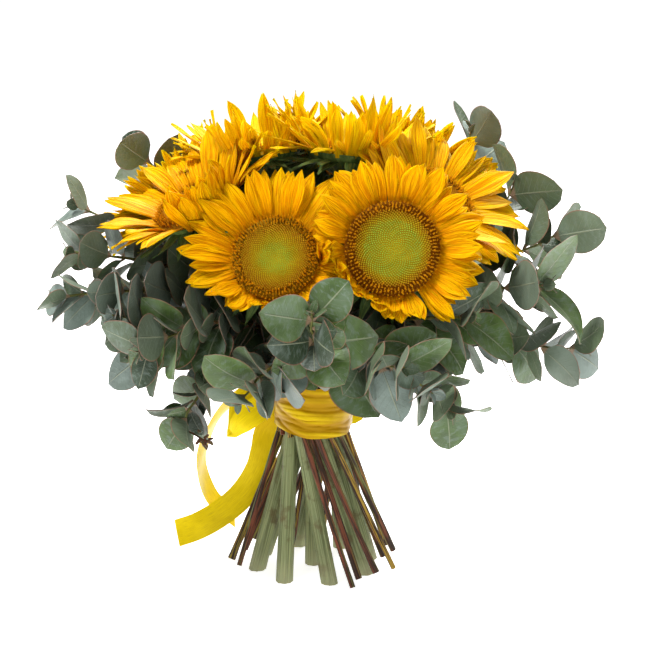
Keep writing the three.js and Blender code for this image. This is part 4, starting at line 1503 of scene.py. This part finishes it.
    def stem_line(self, steps: int) -> np.ndarray:
        """Gives the stem's middle line, straight through the waist and then bent up to the head.

        Args:
            steps: How many stretches it has.

        Returns:
            One row for each ring.
        """
        angle = math.radians(self.ring_turn + SLOT_TURN * (self.slot or 0))
        radius = 0.0 if self.slot is None else RING_RADIUS
        slot = (radius * math.cos(angle), radius * math.sin(angle))
        foot, neck = ruling(slot, 0.0), ruling(slot, NECK_START)
        end = self.head.centre - self.head.facing * (CALYX_DEPTH - self.into_cup)
        pull = self.neck_pull * np.linalg.norm(end - neck)
        corners = [neck, neck + unit(neck - foot) * pull, end - self.head.facing * pull, end]
        straight = np.linspace(0, 1, steps // 2, endpoint=False)[:, None]
        t = np.linspace(0, 1, steps + 1 - steps // 2)[:, None]
        weights = ((1 - t) ** 3, 3 * (1 - t) ** 2 * t, 3 * (1 - t) * t**2, t**3)
        curve = sum(weight * corner for weight, corner in zip(weights, corners))
        return np.vstack([foot + straight * (neck - foot), curve])

    def build_stalk(self, kit: "Kit", rng: np.random.Generator) -> None:
        """Builds the ribbed stem, the cup and the bracts."""
        patch, mould = Patchwork(), kit.stem
        ribs, phase, tone = int(rng.integers(7, 11)), rng.uniform(*ANY_ANGLE), rng.uniform(0, 1)

        def radius(angle: np.ndarray, share: np.ndarray) -> np.ndarray:
            """Gives the ribbed stem's radius."""
            foot = self.foot_wider * np.clip(1 - share / self.foot_share, 0, 1)
            swell = 0.02 * np.sin(share * 17 + phase)
            rib = 0.05 * np.cos(ribs * angle + phase + share * 2)
            return self.stem_radius * (1 - 0.12 * share + foot) * (0.95 + rib + swell)

        spots = lay_tube(mould, self.stem_line(mould.steps), radius, True)
        cut = np.clip(1 - mould.share * mould.steps / 1.2, 0, 1)
        traits = columns(tone, np.clip((mould.share - 0.8) * 4, 0, 0.6), cut * 0.7)
        patch.lay(mould, spots, columns(np.abs(mould.angle) / math.pi, mould.share), traits)
        self.lay_cup(patch, kit.cup, tone)
        bracts = Lattice("stem_" + self.name).blades({2: (BRACT_SHARES, 0.44)})
        for bract, following in self.around(bracts):
            kit.bract.lay(patch, bract, rng, (rng.uniform(0, 1), 1, 0))
            if np.linalg.norm(following.root - bract.root) >= self.bract_gap:
                continue
            for _ in range(self.extra_bracts):
                share = 0.5 + rng.uniform(-0.2, 0.2)
                extra = bract.between(following, share, rng.uniform(-0.2, 0.3), rng.uniform(0.8, 1.15))
                kit.bract.lay(patch, extra, rng, (rng.uniform(0, 1), 1, 0))
        LOG.info("%s: %d bracts in the packed model", self.name, len(bracts))
        piece = patch.sew("stalk_" + self.name, [kit.stalk], sharp=45)
        finish_piece(piece, "stem_" + self.name)

    def lay_cup(self, patch: Patchwork, cup: Mould, tone: float) -> None:
        """Lays the green cup under the disc."""
        level = cup.share
        widest = self.head.radius + self.cup_past
        radii = (*self.cup_foot, *(share * widest for share in self.cup_swell))
        lift = -CALYX_DEPTH + (CALYX_DEPTH - CALYX_TOP) * level
        spots = self.head.round_point(cup.angle, read_curve(self.cup_places, radii, level), lift)
        patch.lay(cup, spots, columns(cup.angle, level), (tone, 1.0, 0.0))


@dataclass
class EucalyptusBranch:
    """One branch of eucalyptus: its twig, its paired leaves and the small ones at its tip.

    Args:
        name: The branch's number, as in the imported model.
        buds: How many brown buds hang at its tip in place of the small leaves.
        tone: Its leaves' tone from blue to dark green, or None for a drawn one.
        ring_reach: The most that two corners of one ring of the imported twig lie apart.
        twig_radius: The twig's usual radius at its foot.
        tip_radius: Its radius at the tip.
        wander: How far it wanders off the straight.
        hang: How far the buds hang from the tip.
        bud_widths: The widths in millimetres that a bud's is drawn from.
        tip_leaf: The length of the small leaves.
        usual_leaf: A leaf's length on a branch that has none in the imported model.
        leaf_centre: The point that the leaves turn their faces away from.
        most_twist: How far they turn for that, in radians.
        leaf_lean: How far leaves lean out at the twig's foot, and how much less at its tip, in degrees.
        leaf_size: A leaf's size at the foot, and how much less at the tip, as shares.
    """

    name: str
    buds: int = 0
    tone: float | None = None
    ring_reach: float = 5.2 * MM
    twig_radius: float = 2.2 * MM
    tip_radius: float = 0.8 * MM
    wander: float = 1.3 * MM
    hang: tuple[float, float, float] = (18 * MM, -20 * MM, -5 * MM)
    bud_widths: Span = (2.4, 3.4)
    tip_leaf: float = 17 * MM
    usual_leaf: float = 45 * MM
    leaf_centre: tuple[float, float, float] = (0.0, 0.0, 230 * MM)
    most_twist: float = 1.2
    leaf_lean: Span = (64, 22)
    leaf_size: Span = (1.05, 0.3)

    def build(self, kit: "Kit") -> None:
        """Builds the branch as one piece.

        Args:
            kit: The moulds and materials.
        """
        rng = np.random.default_rng(BRANCH_SEED + int(self.name))
        lattice = Lattice("eucalyptus_" + self.name)
        leaves = lattice.blades({3: (LEAF_SHARES, 0.5), 2: (SMALL_LEAF_SHARES, 0.5)})
        path = lattice.rings(self.ring_reach)
        patch = Patchwork()
        drawn_tone = rng.uniform(0.0, 0.95)
        base_tone = drawn_tone if self.tone is None else self.tone
        leaves += self.further_leaves(kit, path, leaves, rng)
        for leaf in leaves:
            kit.leaf.lay(patch, leaf, rng, float(np.clip(base_tone + rng.uniform(-0.4, 0.4), 0, 1)))
        if not self.buds:
            self.lay_tip(patch, kit.leaf, path, rng, base_tone)
        self.lay_twig(patch, kit.twig, path, rng)
        if self.buds:
            self.lay_buds(patch, kit, path, rng)
        LOG.info("eucalyptus %s: %d leaves on %d rings", self.name, len(leaves), len(path))
        piece = patch.sew("foliage_" + self.name, [kit.eucalyptus, kit.bark], sharp=40)
        finish_piece(piece, "eucalyptus_" + self.name)

    def further_leaves(
        self, kit: "Kit", path: list[np.ndarray], leaves: list[Blade], rng: np.random.Generator
    ) -> list[Blade]:
        """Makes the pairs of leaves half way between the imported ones, clear of the flower heads.

        Args:
            kit: Knows where leaves may stand.
            path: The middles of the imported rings.
            leaves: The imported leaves.
            rng: Draws their small differences.

        Returns:
            The further leaves.
        """
        found = []
        usual = float(np.mean([leaf.length for leaf in leaves])) if leaves else self.usual_leaf
        for place in range(2, len(path) - 1):
            way = unit(path[place + 1] - path[place - 1])
            level = unit(np.cross(way, np.array([0.1, 0.05, 1.0])))
            spin = rng.uniform(0, math.pi)
            outward = (place - 2) / (len(path) - 3)
            for turned in (0, math.pi):
                side, _ = swing(level, np.cross(way, level), spin + turned)
                lean = math.radians(self.leaf_lean[0] - self.leaf_lean[1] * outward) + rng.uniform(-0.2, 0.2)
                along, below = swing(way, side, lean)
                over = np.cross(along, -below)
                outwards = path[place] - np.array(self.leaf_centre)
                towards = math.atan2(outwards @ over, outwards @ -below)
                twist = float(np.clip(towards, -self.most_twist, self.most_twist)) + rng.uniform(-0.5, 0.5)
                up, _ = swing(-below, over, twist)
                size = usual * rng.uniform(0.68, 1.0) * (self.leaf_size[0] - self.leaf_size[1] * outward)
                root = path[place] + side * self.tip_radius
                leaf = Blade(root, along, up, size, rng.uniform(-0.6, 0.2), size * rng.uniform(0.74, 0.88))
                if kit.has_room(leaf):
                    found.append(leaf)
        return found

    def lay_twig(
        self, patch: Patchwork, mould: Mould, path: list[np.ndarray], rng: np.random.Generator
    ) -> None:
        """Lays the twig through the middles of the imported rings."""
        run = np.linspace(0, 1, mould.steps + 1)
        line = smooth_path(path, run)
        knots, phase = rng.uniform(0.2, 0.5), rng.uniform(*ANY_ANGLE)
        stout = self.twig_radius * rng.uniform(0.8, 1.2)
        line[:, 0] += self.wander * np.sin(run * 31 + phase) * np.sin(run * 13)
        line[:, 1] += self.wander * np.sin(run * 27 + 2 * phase) * np.sin(run * 13)

        def radius(angle: np.ndarray, share: np.ndarray) -> np.ndarray:
            """Gives the twig's radius, thicker at its knots and one-sided there."""
            taper = stout + (self.tip_radius - stout) * share
            knot = np.sin(share * 46 + phase) ** 12 * (0.18 + 0.5 * np.clip(np.cos(angle - share * 90), 0, 1))
            return taper * (1 + knot + 0.08 * np.sin(2 * angle + share * 60 * knots))

        spots = lay_tube(mould, line, radius, False)
        traits = columns(rng.uniform(0, 1), mould.share, 0.0)
        patch.lay(mould, spots, columns(np.abs(mould.angle) / math.pi, mould.share), traits, BARK)

    def lay_tip(
        self, patch: Patchwork, form: LeafForm, path: list[np.ndarray], rng: np.random.Generator, tone: float
    ) -> None:
        """Lays two pairs of small leaves at the tip, each square to the other."""
        way = unit(path[-1] - path[-2])
        side = unit(np.cross(way, np.array([0.3, 0.2, 1.0])))
        for pair in range(2):
            size = self.tip_leaf * (1 - 0.35 * pair)
            root = path[-1] - way * (6 - 4 * pair) * MM
            for sign in (1, -1):
                along, below = swing(way, side * sign, 0.75 - 0.2 * pair + rng.uniform(-0.1, 0.1))
                form.lay(patch, Blade(root, along, -below, size, -0.3, size * 0.62), rng, tone)
            side = np.cross(way, side)

    def lay_buds(
        self, patch: Patchwork, kit: "Kit", path: list[np.ndarray], rng: np.random.Generator
    ) -> None:
        """Lays a thin stalk that hangs from the tip, with a cluster of brown buds at its end."""
        hang, share = np.array(self.hang), kit.twig.share
        end, way = path[-1] + hang, unit(hang)
        knots = [path[-2], path[-1], path[-1] + 0.5 * hang, end]
        line = smooth_path(knots, np.linspace(0.34, 1, kit.twig.steps + 1))
        spots = lay_tube(kit.twig, line, lambda angle, along: np.full_like(along, self.tip_radius), False)
        patch.lay(kit.twig, spots, columns(share, share), (0.3, 0.2, 0.0), BARK)
        rise = 1.6 * kit.bud.spots[:, 2] + 0.3
        for _ in range(self.buds):
            axis = unit(way + rng.normal(0, 0.7, 3))
            side = unit(np.cross(axis, np.array([0.2, 0.9, 0.1])))
            size = rng.uniform(*self.bud_widths) * MM
            root = end + way * rng.uniform(-6, 5) * MM + rng.normal(0, 1.7, 3) * MM
            spots = kit.bud.stand(root, axis, side, size, size * rise)
            patch.lay(kit.bud, spots, kit.bud.spots[:, :2], (rng.uniform(0, 0.4), 0.0, 0.0), BARK)


@dataclass
class RibbonStrip:
    """A length of ribbon along a route.

    Args:
        name: The strip's name.
        route: The points that it passes, in millimetres.
        facing: The way that its face looks.
        gathered: Whether it is gathered at both ends, as a loop is.
        held: How it is held; not used.
        pointed: Whether its end is cut to a point.
        folded: How much narrower it is folded in its middle, as a share of its width.
        width: The ribbon's width.
        thickness: Its thickness.
        gather: The share of its width that it keeps at the knot.
        gather_rate: How fast it widens from there, for its whole length.
        painted_knot_shade: How much painted shade it has at its first end, by the knot, from 0 to 1; it fades
            along its length.
        pleat: The height of its pleats at the knot.
        bow: How far its edges bow.
        crumple: The height of its small waves.
        end_slants: How far its end is cut on the slant when it is square, and when it is pointed.
    """

    name: str
    route: tuple[tuple[float, float, float], ...]
    facing: tuple[float, float, float]
    gathered: bool
    held: str
    pointed: bool = False
    folded: float = 0.0
    width: float = 24 * MM
    thickness: float = 0.5 * MM
    gather: float = 0.3
    gather_rate: float = 3.2
    painted_knot_shade: float = 0.5
    pleat: float = 1.6 * MM
    bow: float = 1.1 * MM
    crumple: float = 0.35 * MM
    end_slants: Span = (1.5 * MM, -4.5 * MM)

    def build(self, kit: "Kit") -> None:
        """Args:
            kit: The moulds and materials.
        """
        raw, across, top = kit.strip.spots.T
        dense = smooth_path([np.array(p) * MM for p in self.route], np.linspace(0, 1, 400))
        lengths = np.concatenate([[0], np.cumsum(np.linalg.norm(np.diff(dense, axis=0), axis=1))])
        total = float(lengths[-1])
        line, way = (
            np.column_stack([np.interp(raw * total, lengths, rows[:, i]) for i in range(3)])
            for rows in (dense, np.gradient(dense, axis=0))
        )
        way = unit_rows(way)
        facing = unit(np.array(self.facing))
        normal = unit_rows(facing - way * (way @ facing)[:, None])
        from_knot = np.minimum(raw, 1 - raw) if self.gathered else raw
        pinch = np.minimum(1, self.gather + from_knot * self.gather_rate)
        half = self.width / 2 * pinch * (1 - self.folded * np.exp(-(((raw - 0.5) / 0.1) ** 2)))
        pleats = self.pleat * (1 - pinch) * np.cos(across * math.pi * 3)
        bow = self.bow * across**2 * np.sin(raw * 9) + self.crumple * np.sin(raw * 31 + across * 2)
        slip = self.end_slants[self.pointed] * across * np.clip((raw - 0.9) * 10, 0, 1)
        lift = pleats + bow + self.thickness * (top - 0.5)
        side = np.cross(normal, way)
        spots = line + side * (across * half)[:, None] + normal * lift[:, None] + way * slip[:, None]
        patch = Patchwork()
        lay = columns((across + 1) / 2, raw * total / self.width)
        # Painted shade: darkest at the strip's first end, by the knot, and fading along it
        patch.lay(kit.strip, spots, lay, columns(self.painted_knot_shade * (1 - raw), 0.0, 0.0))
        piece = finish_piece(patch.sew(self.name, [kit.satin], sharp=40), "ribbon_bow")


@dataclass
class RibbonWrap:
    """The ribbon wound round the waist in crushed folds, with painted shade in them, and the knot behind it.

    Args:
        low: The band's lower edge.
        high: Its upper edge.
        radius: Its outer radius.
        least_radius: The radius that it never goes below.
        width: The ribbon's width.
        thickness: The band's thickness.
        least_thickness: What is left of it where its folds are deepest.
        raised: How far the whole band is raised.
        inset: How far the folds' valleys lie inside its outer radius.
        tuck: How far its middle is drawn in.
        crumple: The height of its finest crumples.
        fold: The height of its folds.
        dips: The waves of its lower edge, in millimetres, each with its height, rate and start.
        lowest_dip: How far that edge dips at most.
        wide_waves: The waves that the widest folds follow.
        slanted_waves: The waves that the slanted ones follow.
        fine_waves: The waves that the finest ones follow.
        knot_centre: The knot's middle.
        knot_size: The knot's half measures.
    """

    low: float = 126 * MM
    high: float = 165 * MM
    radius: float = 32.6 * MM
    least_radius: float = 31.4 * MM
    width: float = 24 * MM
    thickness: float = 0.8 * MM
    least_thickness: float = 0.5 * MM
    raised: float = 1.2 * MM
    inset: float = 0.6 * MM
    tuck: float = 0.5 * MM
    crumple: float = 0.16 * MM
    fold: float = 2.4 * MM
    dips: Waves = ((4.2, 1, -0.35), (2.2, 2, 0.7))
    lowest_dip: float = -4.5 * MM
    wide_waves: Waves = ((0.55, 1, 0.2), (0.1, 3, 0))
    slanted_waves: Waves = ((-0.8, 1, -0.7), (0.1, 2, 0))
    fine_waves: Waves = ((1.3, 1, 0.35), (0.3, 2, 1))
    knot_centre: tuple[float, float, float] = (-4 * MM, 38.5 * MM, 146 * MM)
    knot_size: tuple[float, float, float] = (6.6 * MM, 5.4 * MM, 9.0 * MM)

    def build(self, kit: "Kit") -> None:
        """Builds the band and the knot.

        Args:
            kit: The moulds and materials.
        """
        mould = self.band_mould()
        angle, level = mould.angle, mould.spots[:, 2]
        outer = np.hypot(mould.spots[:, 0], mould.spots[:, 1]) > 1.5
        dip = np.maximum(waves(angle, self.dips) * MM, self.lowest_dip) * (1 - level)
        height = self.low + (self.high - self.low) * level + dip + self.raised
        wide = self.crease(level * 2.3 + waves(angle, self.wide_waves))
        slanted = self.crease(level * 3.4 + waves(angle, self.slanted_waves) + 0.5)
        fine = self.crease(level * 9.7 + waves(angle, self.fine_waves))
        patchy = 0.3 + 0.7 * np.sin(angle * 1.5 + level * 3) ** 2
        fold = 0.45 * wide + 0.3 * slanted + 0.2 * fine * patchy
        crumples = self.crumple * np.sin(angle * 13 + level * 9) * np.sin(angle * 5 - level * 17)
        tuck = self.tuck * np.sin(level * math.pi)
        radius = self.radius - self.inset - tuck + self.fold * fold + crumples
        radius = np.where(outer, radius, radius - self.thickness)
        radius = np.maximum(radius, self.least_radius + np.where(outer, self.least_thickness, 0))
        spots = columns(radius * np.cos(angle), radius * np.sin(angle), height)
        patch = Patchwork()
        # Painted shade: the band is darkened all over, and most in its folds' valleys
        painted_shade = np.clip(0.44 + 0.85 * (1 - fold / fold.max()), 0, 1)
        lay = columns(level * 1.6, np.abs(angle) * self.radius / self.width)
        patch.lay(mould, spots, lay, columns(painted_shade, 0.0, 0.0))
        band = finish_piece(patch.sew("ribbon_wrap", [kit.satin], sharp=40), "ribbon_band")
        turns = (self.high - self.low) / self.width
        length = 2 * math.pi * self.radius * turns * 1.05
        self.build_knot(kit)

    @staticmethod
    def crease(phase: np.ndarray) -> np.ndarray:
        """Gives the height of folds with sharp valleys, once for each unit of the phase."""
        return 1 - np.abs((phase % 1) * 2 - 1) ** 3.2

    def band_mould(self, sides: int = 160, steps: int = 56) -> Mould:
        """Models a closed band: its inner wall has radius 1, its outer wall 2, and its height is 1.

        Args:
            sides: Divisions round the band.
            steps: Divisions up each wall.

        Returns:
            The mould.
        """
        start_shape()
        bpy.ops.mesh.primitive_circle_add(vertices=sides, radius=1, fill_type="NOTHING")
        ring = bpy.context.object
        bpy.ops.object.mode_set(mode="EDIT")
        bpy.ops.mesh.select_mode(type="EDGE")
        bpy.ops.mesh.select_all(action="SELECT")
        draw_out(1 / steps, steps)
        bpy.ops.mesh.extrude_region_move()
        bpy.ops.transform.resize(value=(2, 2, 1), center_override=(0, 0, 0))
        draw_out(-1 / steps, steps)
        bpy.ops.mesh.select_all(action="DESELECT")
        bpy.ops.mesh.select_non_manifold()
        bpy.ops.mesh.bridge_edge_loops()
        return Mould.close(ring)

    def build_knot(self, kit: "Kit") -> None:
        """Builds the knot: a short pleated length of ribbon pulled tight over the bow's middle."""
        start_shape()
        bpy.ops.mesh.primitive_uv_sphere_add(segments=28, ring_count=18, radius=1)
        mould = Mould.cast(bpy.context.object)
        x, y, z = mould.spots.T
        turn = np.arctan2(x, y)
        pleats = 1 + 0.07 * np.cos(turn * 7 + z * 2) + 0.04 * np.sin(z * 9 + turn)
        spots = np.array(self.knot_centre) + columns(x * pleats, y * pleats, z) * np.array(self.knot_size)
        patch = Patchwork()
        patch.lay(mould, spots, columns(turn / 3, z), (0, 0, 0))
        knot = finish_piece(patch.sew("ribbon_knot", [kit.satin], sharp=40), "ribbon_bow")


@dataclass
class Kit:
    """The moulds and materials that the sub-assemblies share, and where leaves may stand.

    Args:
        lowest_leaf: The height that no further leaf reaches below.
        under_head: How far under a flower head its room reaches.
        over_head: How far above it.
        past_disc: How far past its disc's edge.
        band_room: How far from the axis the room round the wound ribbon reaches.
        band_levels: That room's lowest and highest point.
        loop_middle: The middle of the room in front of the bow's left loop.
        loop_room: That room's half width and half height, and how far behind the middle it ends.
        sight_rise: The angle above the horizon at which the picture looks down, in degrees.
    """

    lowest_leaf: float = 125 * MM
    under_head: float = 16 * MM
    over_head: float = 60 * MM
    past_disc: float = 38 * MM
    band_room: float = 50 * MM
    band_levels: Span = (116 * MM, 158 * MM)
    loop_middle: tuple[float, float, float] = (-60 * MM, -46 * MM, 141 * MM)
    loop_room: tuple[float, float, float] = (15 * MM, 18 * MM, 60 * MM)
    sight_rise: float = 13.0

    def __post_init__(self) -> None:
        """Models each repeated shape and mixes each finish."""
        self.petal = PetalForm(blade_mould(10, 6))
        self.bract = PetalForm(
            blade_mould(8, 4),
            thickness=1.0 * MM,
            rib=0.15 * MM,
            wave=1.2 * MM,
            places=(0.0, 0.2, 0.4, 0.6, 0.8, 0.93, 1.0),
            halves=(0.42, 0.46, 0.44, 0.33, 0.17, 0.06, 0.01),
        )
        self.leaf = LeafForm(blade_mould(12, 6))
        self.heads = [Head.of(name) for name, *_ in FLOWERS]
        self.stem = tube_mould(28, 26)
        self.twig = tube_mould(8, 72)
        self.bed = tube_mould(72, 14)
        self.cup = tube_mould(36, 8)
        self.strip = blade_mould(60, 8)
        self.bud = bud_mould()
        self.open_floret = open_floret_mould()
        self.gold = PetalFinish().dye()
        self.disc = DiscFinish().dye()
        self.stalk = StalkFinish().dye()
        self.eucalyptus = LeafFinish().dye()
        self.bark = TwigFinish().dye()
        self.satin = RibbonFinish().dye()

    def has_room(self, leaf: Blade) -> bool:
        """Says whether a further leaf may stand where it does."""
        return self.clear_of_heads(leaf) and self.clear_of_ribbon(leaf) and self.inside(leaf)

    def clear_of_heads(self, leaf: Blade) -> bool:
        """Says whether a leaf stays off the flower heads' discs and petals."""
        spots = leaf.spots(np.linspace(0, 1, 6), np.zeros(6), np.zeros(6))
        for head in self.heads:
            gaps = spots - head.centre
            lifts = gaps @ head.facing
            reaches = np.linalg.norm(gaps - lifts[:, None] * head.facing, axis=1)
            level = (lifts > -self.under_head) & (lifts < self.over_head)
            if np.any(level & (reaches < head.radius + self.past_disc)):
                return False
        return True

    def clear_of_ribbon(self, leaf: Blade) -> bool:
        """Says whether a leaf leaves the wound ribbon and the bow's left loop in sight."""
        shares = np.repeat(np.linspace(0.2, 1, 5), 3)
        across = np.tile([-0.45, 0.0, 0.45], 5) * leaf.width
        spots = leaf.spots(shares, across, np.zeros(15))
        away, (low, high) = np.hypot(spots[:, 0], spots[:, 1]), self.band_levels
        round_band = (away < self.band_room) & (spots[:, 2] > low) & (spots[:, 2] < high)
        gaps = spots - np.array(self.loop_middle)
        rise = math.radians(self.sight_rise)
        above = gaps[:, 2] * math.cos(rise) + gaps[:, 1] * math.sin(rise)
        wide, tall, behind = self.loop_room
        before_loop = (np.abs(gaps[:, 0]) < wide) & (np.abs(above) < tall) & (gaps[:, 1] < behind)
        return not np.any(round_band | before_loop)

    def inside(self, leaf: Blade) -> bool:
        """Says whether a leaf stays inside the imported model's box."""
        ends = leaf.spots(np.array([1.0, 0.5, 0.5]), np.array([0, -0.5, 0.5]) * leaf.width, np.zeros(3))
        low, high = (np.array(corner) for corner in CAD_BOX)
        return bool(np.all(ends > low) and np.all(ends < high) and ends[:, 2].min() > self.lowest_leaf)


@dataclass
class Studio:
    """A pale floor, soft light and the camera at the picture's angle.

    Args:
        target: The point that the camera looks at.
        distance: How far away the camera stands.
        elevation: How far above the horizon it looks from, in degrees.
        lens: Its focal length in millimetres.
        sensor: Its sensor's width in millimetres.
        floor_size: The floor's side.
        floor_glow: How much the floor is lit from below, so that it stays white.
        air: The strength of the light from all round.
    """

    target: tuple[float, float, float] = (8 * MM, 0.0, 216 * MM)
    distance: float = 1.7
    elevation: float = 13.0
    lens: float = 111.63
    sensor: float = 36.0
    floor_size: float = 60.0
    floor_glow: float = 0.8
    air: float = 0.22

    def build(self) -> None:
        """Sets up the floor, the lights and the camera."""
        start_shape()
        bpy.ops.mesh.primitive_plane_add(size=self.floor_size)
        floor = bpy.context.object
        floor.name = "studio_floor"
        glow = {"Emission_Color": (1, 1, 1, 1), "Emission_Strength": self.floor_glow}
        dye = Dye("studio_white", Specular_IOR_Level=0.0, **glow)
        grain = dye.noise(dye.place(), 3, 2)
        dye.wear(dye.ramp(grain, [(0, (0.93,) * 3), (1, (0.95,) * 3)]), 0.9, grain, 0.02, 0.0005)
        floor.data.materials.append(dye.material)
        world = bpy.data.worlds.new("studio_air")
        world.use_nodes = True
        background = world.node_tree.nodes["Background"].inputs
        background["Color"].default_value = (1, 1, 1, 1)
        background["Strength"].default_value = self.air
        bpy.context.scene.world = world
        for name, place, size, power in LIGHTS:
            self.add_light(name, place, size, power)
        camera = bpy.data.objects.new("camera", bpy.data.cameras.new("camera"))
        bpy.context.scene.collection.objects.link(camera)
        rise = math.radians(self.elevation)
        back = Vector((0, -math.cos(rise), math.sin(rise)))
        camera.location = Vector(self.target) + back * self.distance
        camera.rotation_euler = (-back).to_track_quat("-Z", "Y").to_euler()
        camera.data.lens = self.lens
        camera.data.sensor_width = self.sensor
        bpy.context.scene.camera = camera
        bpy.context.scene.view_settings.view_transform = "Standard"

    def add_light(self, name: str, place: tuple[float, float, float], size: float, power: float) -> None:
        """Adds a large soft light that shines on the bunch.

        Args:
            name: The light's name.
            place: Where it stands.
            size: How wide it is.
            power: Its power in watts.
        """
        light = bpy.data.objects.new(name, bpy.data.lights.new(name, "AREA"))
        light.data.size = size
        light.data.energy = power
        light.location = place
        light.rotation_euler = (Vector(self.target) - Vector(place)).to_track_quat("-Z", "Y").to_euler()
        bpy.context.scene.collection.objects.link(light)


# Each light's name, place, width and power
LIGHTS = (
    ("key_light", (-0.8, -0.5, 2.2), 0.6, 70),
    ("front_light", (0.6, -2.0, 1.0), 1.0, 9),
    ("back_light", (0.4, 1.2, 1.8), 1.2, 66),
)

# The upper heads' petals are slender and stand close
UPPER = {"slender": 0.78, "petal_gap": 3.7 * MM}

# Each flower's name, its place in the ring of stems, how far it has opened, and what else sets it apart
# Painted light makes the petals of the upper and back heads paler, where light falls on them
FLOWERS = (
    ("front_right", 0, Ripeness.YOUNG, {"curled": 135.0}),
    ("front_left", 7, Ripeness.OPENING, {"curled": 185.0}),
    ("left", 6, Ripeness.OPEN, {"paleness": 0.1}),
    ("right", 1, Ripeness.OPEN, {"paleness": 0.35}),
    ("top_right", None, Ripeness.OPENING, {"droop": 0.6, "paleness": 0.9, **UPPER}),
    ("top_left", 4, Ripeness.OPENING, {"droop": 0.6, "paleness": 0.9, **UPPER}),
    ("back_right", 2, Ripeness.OPEN, {"droop": 0.4, "paleness": 0.8, **UPPER}),
    ("back_left", 5, Ripeness.OPENING, {"paleness": 0.8, **UPPER}),
    ("back", 3, Ripeness.YOUNG, {"paleness": 0.5}),
)

# The branches with brown buds at the tip, and those whose leaf tone the picture shows plainly
BRANCHES = {"06": {"buds": 14, "tone": 1.0}, "11": {"tone": 0.75}, "14": {"tone": 0.6}}

BOW = (
    RibbonStrip(
        "ribbon_loop_left",
        (
            (-6, 39, 147), (-28, 46, 150), (-54, 46, 141), (-70, 42, 122), (-73, 38, 106),
            (-64, 33, 118), (-46, 33, 132), (-24, 36, 141), (-6, 38, 145),
        ),
        (-0.2, -0.9, 0.4),
        True,
        "folded",
        folded=0.75,
    ),
    RibbonStrip(
        "ribbon_loop_right",
        (
            (-3, 39, 147), (12, 47, 148), (28, 50, 138), (36, 46, 127), (26, 41, 128),
            (10, 39, 138), (-3, 38, 145),
        ),
        (0.3, -0.9, 0.3),
        True,
        "folded",
    ),
    RibbonStrip(
        "ribbon_end_wide",
        (
            (-6, 40, 142), (-26, 45, 124), (-40, 47, 107), (-44, 50, 88), (-48, 52, 72),
            (-57, 52, 55), (-68, 50, 42), (-85, 44, 30), (-103, 36, 22), (-121, 28, 18),
        ),
        (0.1, -0.95, 0.25),
        False,
        "hung",
    ),
    RibbonStrip(
        "ribbon_end_narrow",
        (
            (-6, 40, 148), (-32, 54, 150), (-58, 61, 142), (-76, 60, 127), (-92, 60, 103),
            (-100, 60, 78), (-98, 61, 55), (-88, 62, 35), (-71, 62, 22),
        ),
        (0.95, -0.3, 0.1),
        False,
        "hung",
        pointed=True,
    ),
)


def main() -> None:
    """Builds the bunch piece by piece, then the studio."""
    logging.basicConfig(level=logging.INFO, format="%(name)s: %(message)s")
    kit = Kit()
    for serial, (name, slot, ripeness, ways) in enumerate(FLOWERS):
        Sunflower(name, slot, ripeness, serial, **ways).build(kit)
    for node in sorted(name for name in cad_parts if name.startswith("eucalyptus_")):
        name = node.removeprefix("eucalyptus_")
        EucalyptusBranch(name, **BRANCHES.get(name, {})).build(kit)
    RibbonWrap().build(kit)
    for strip in BOW:
        strip.build(kit)
    Studio().build()


if __name__ == "__main__":
    main()
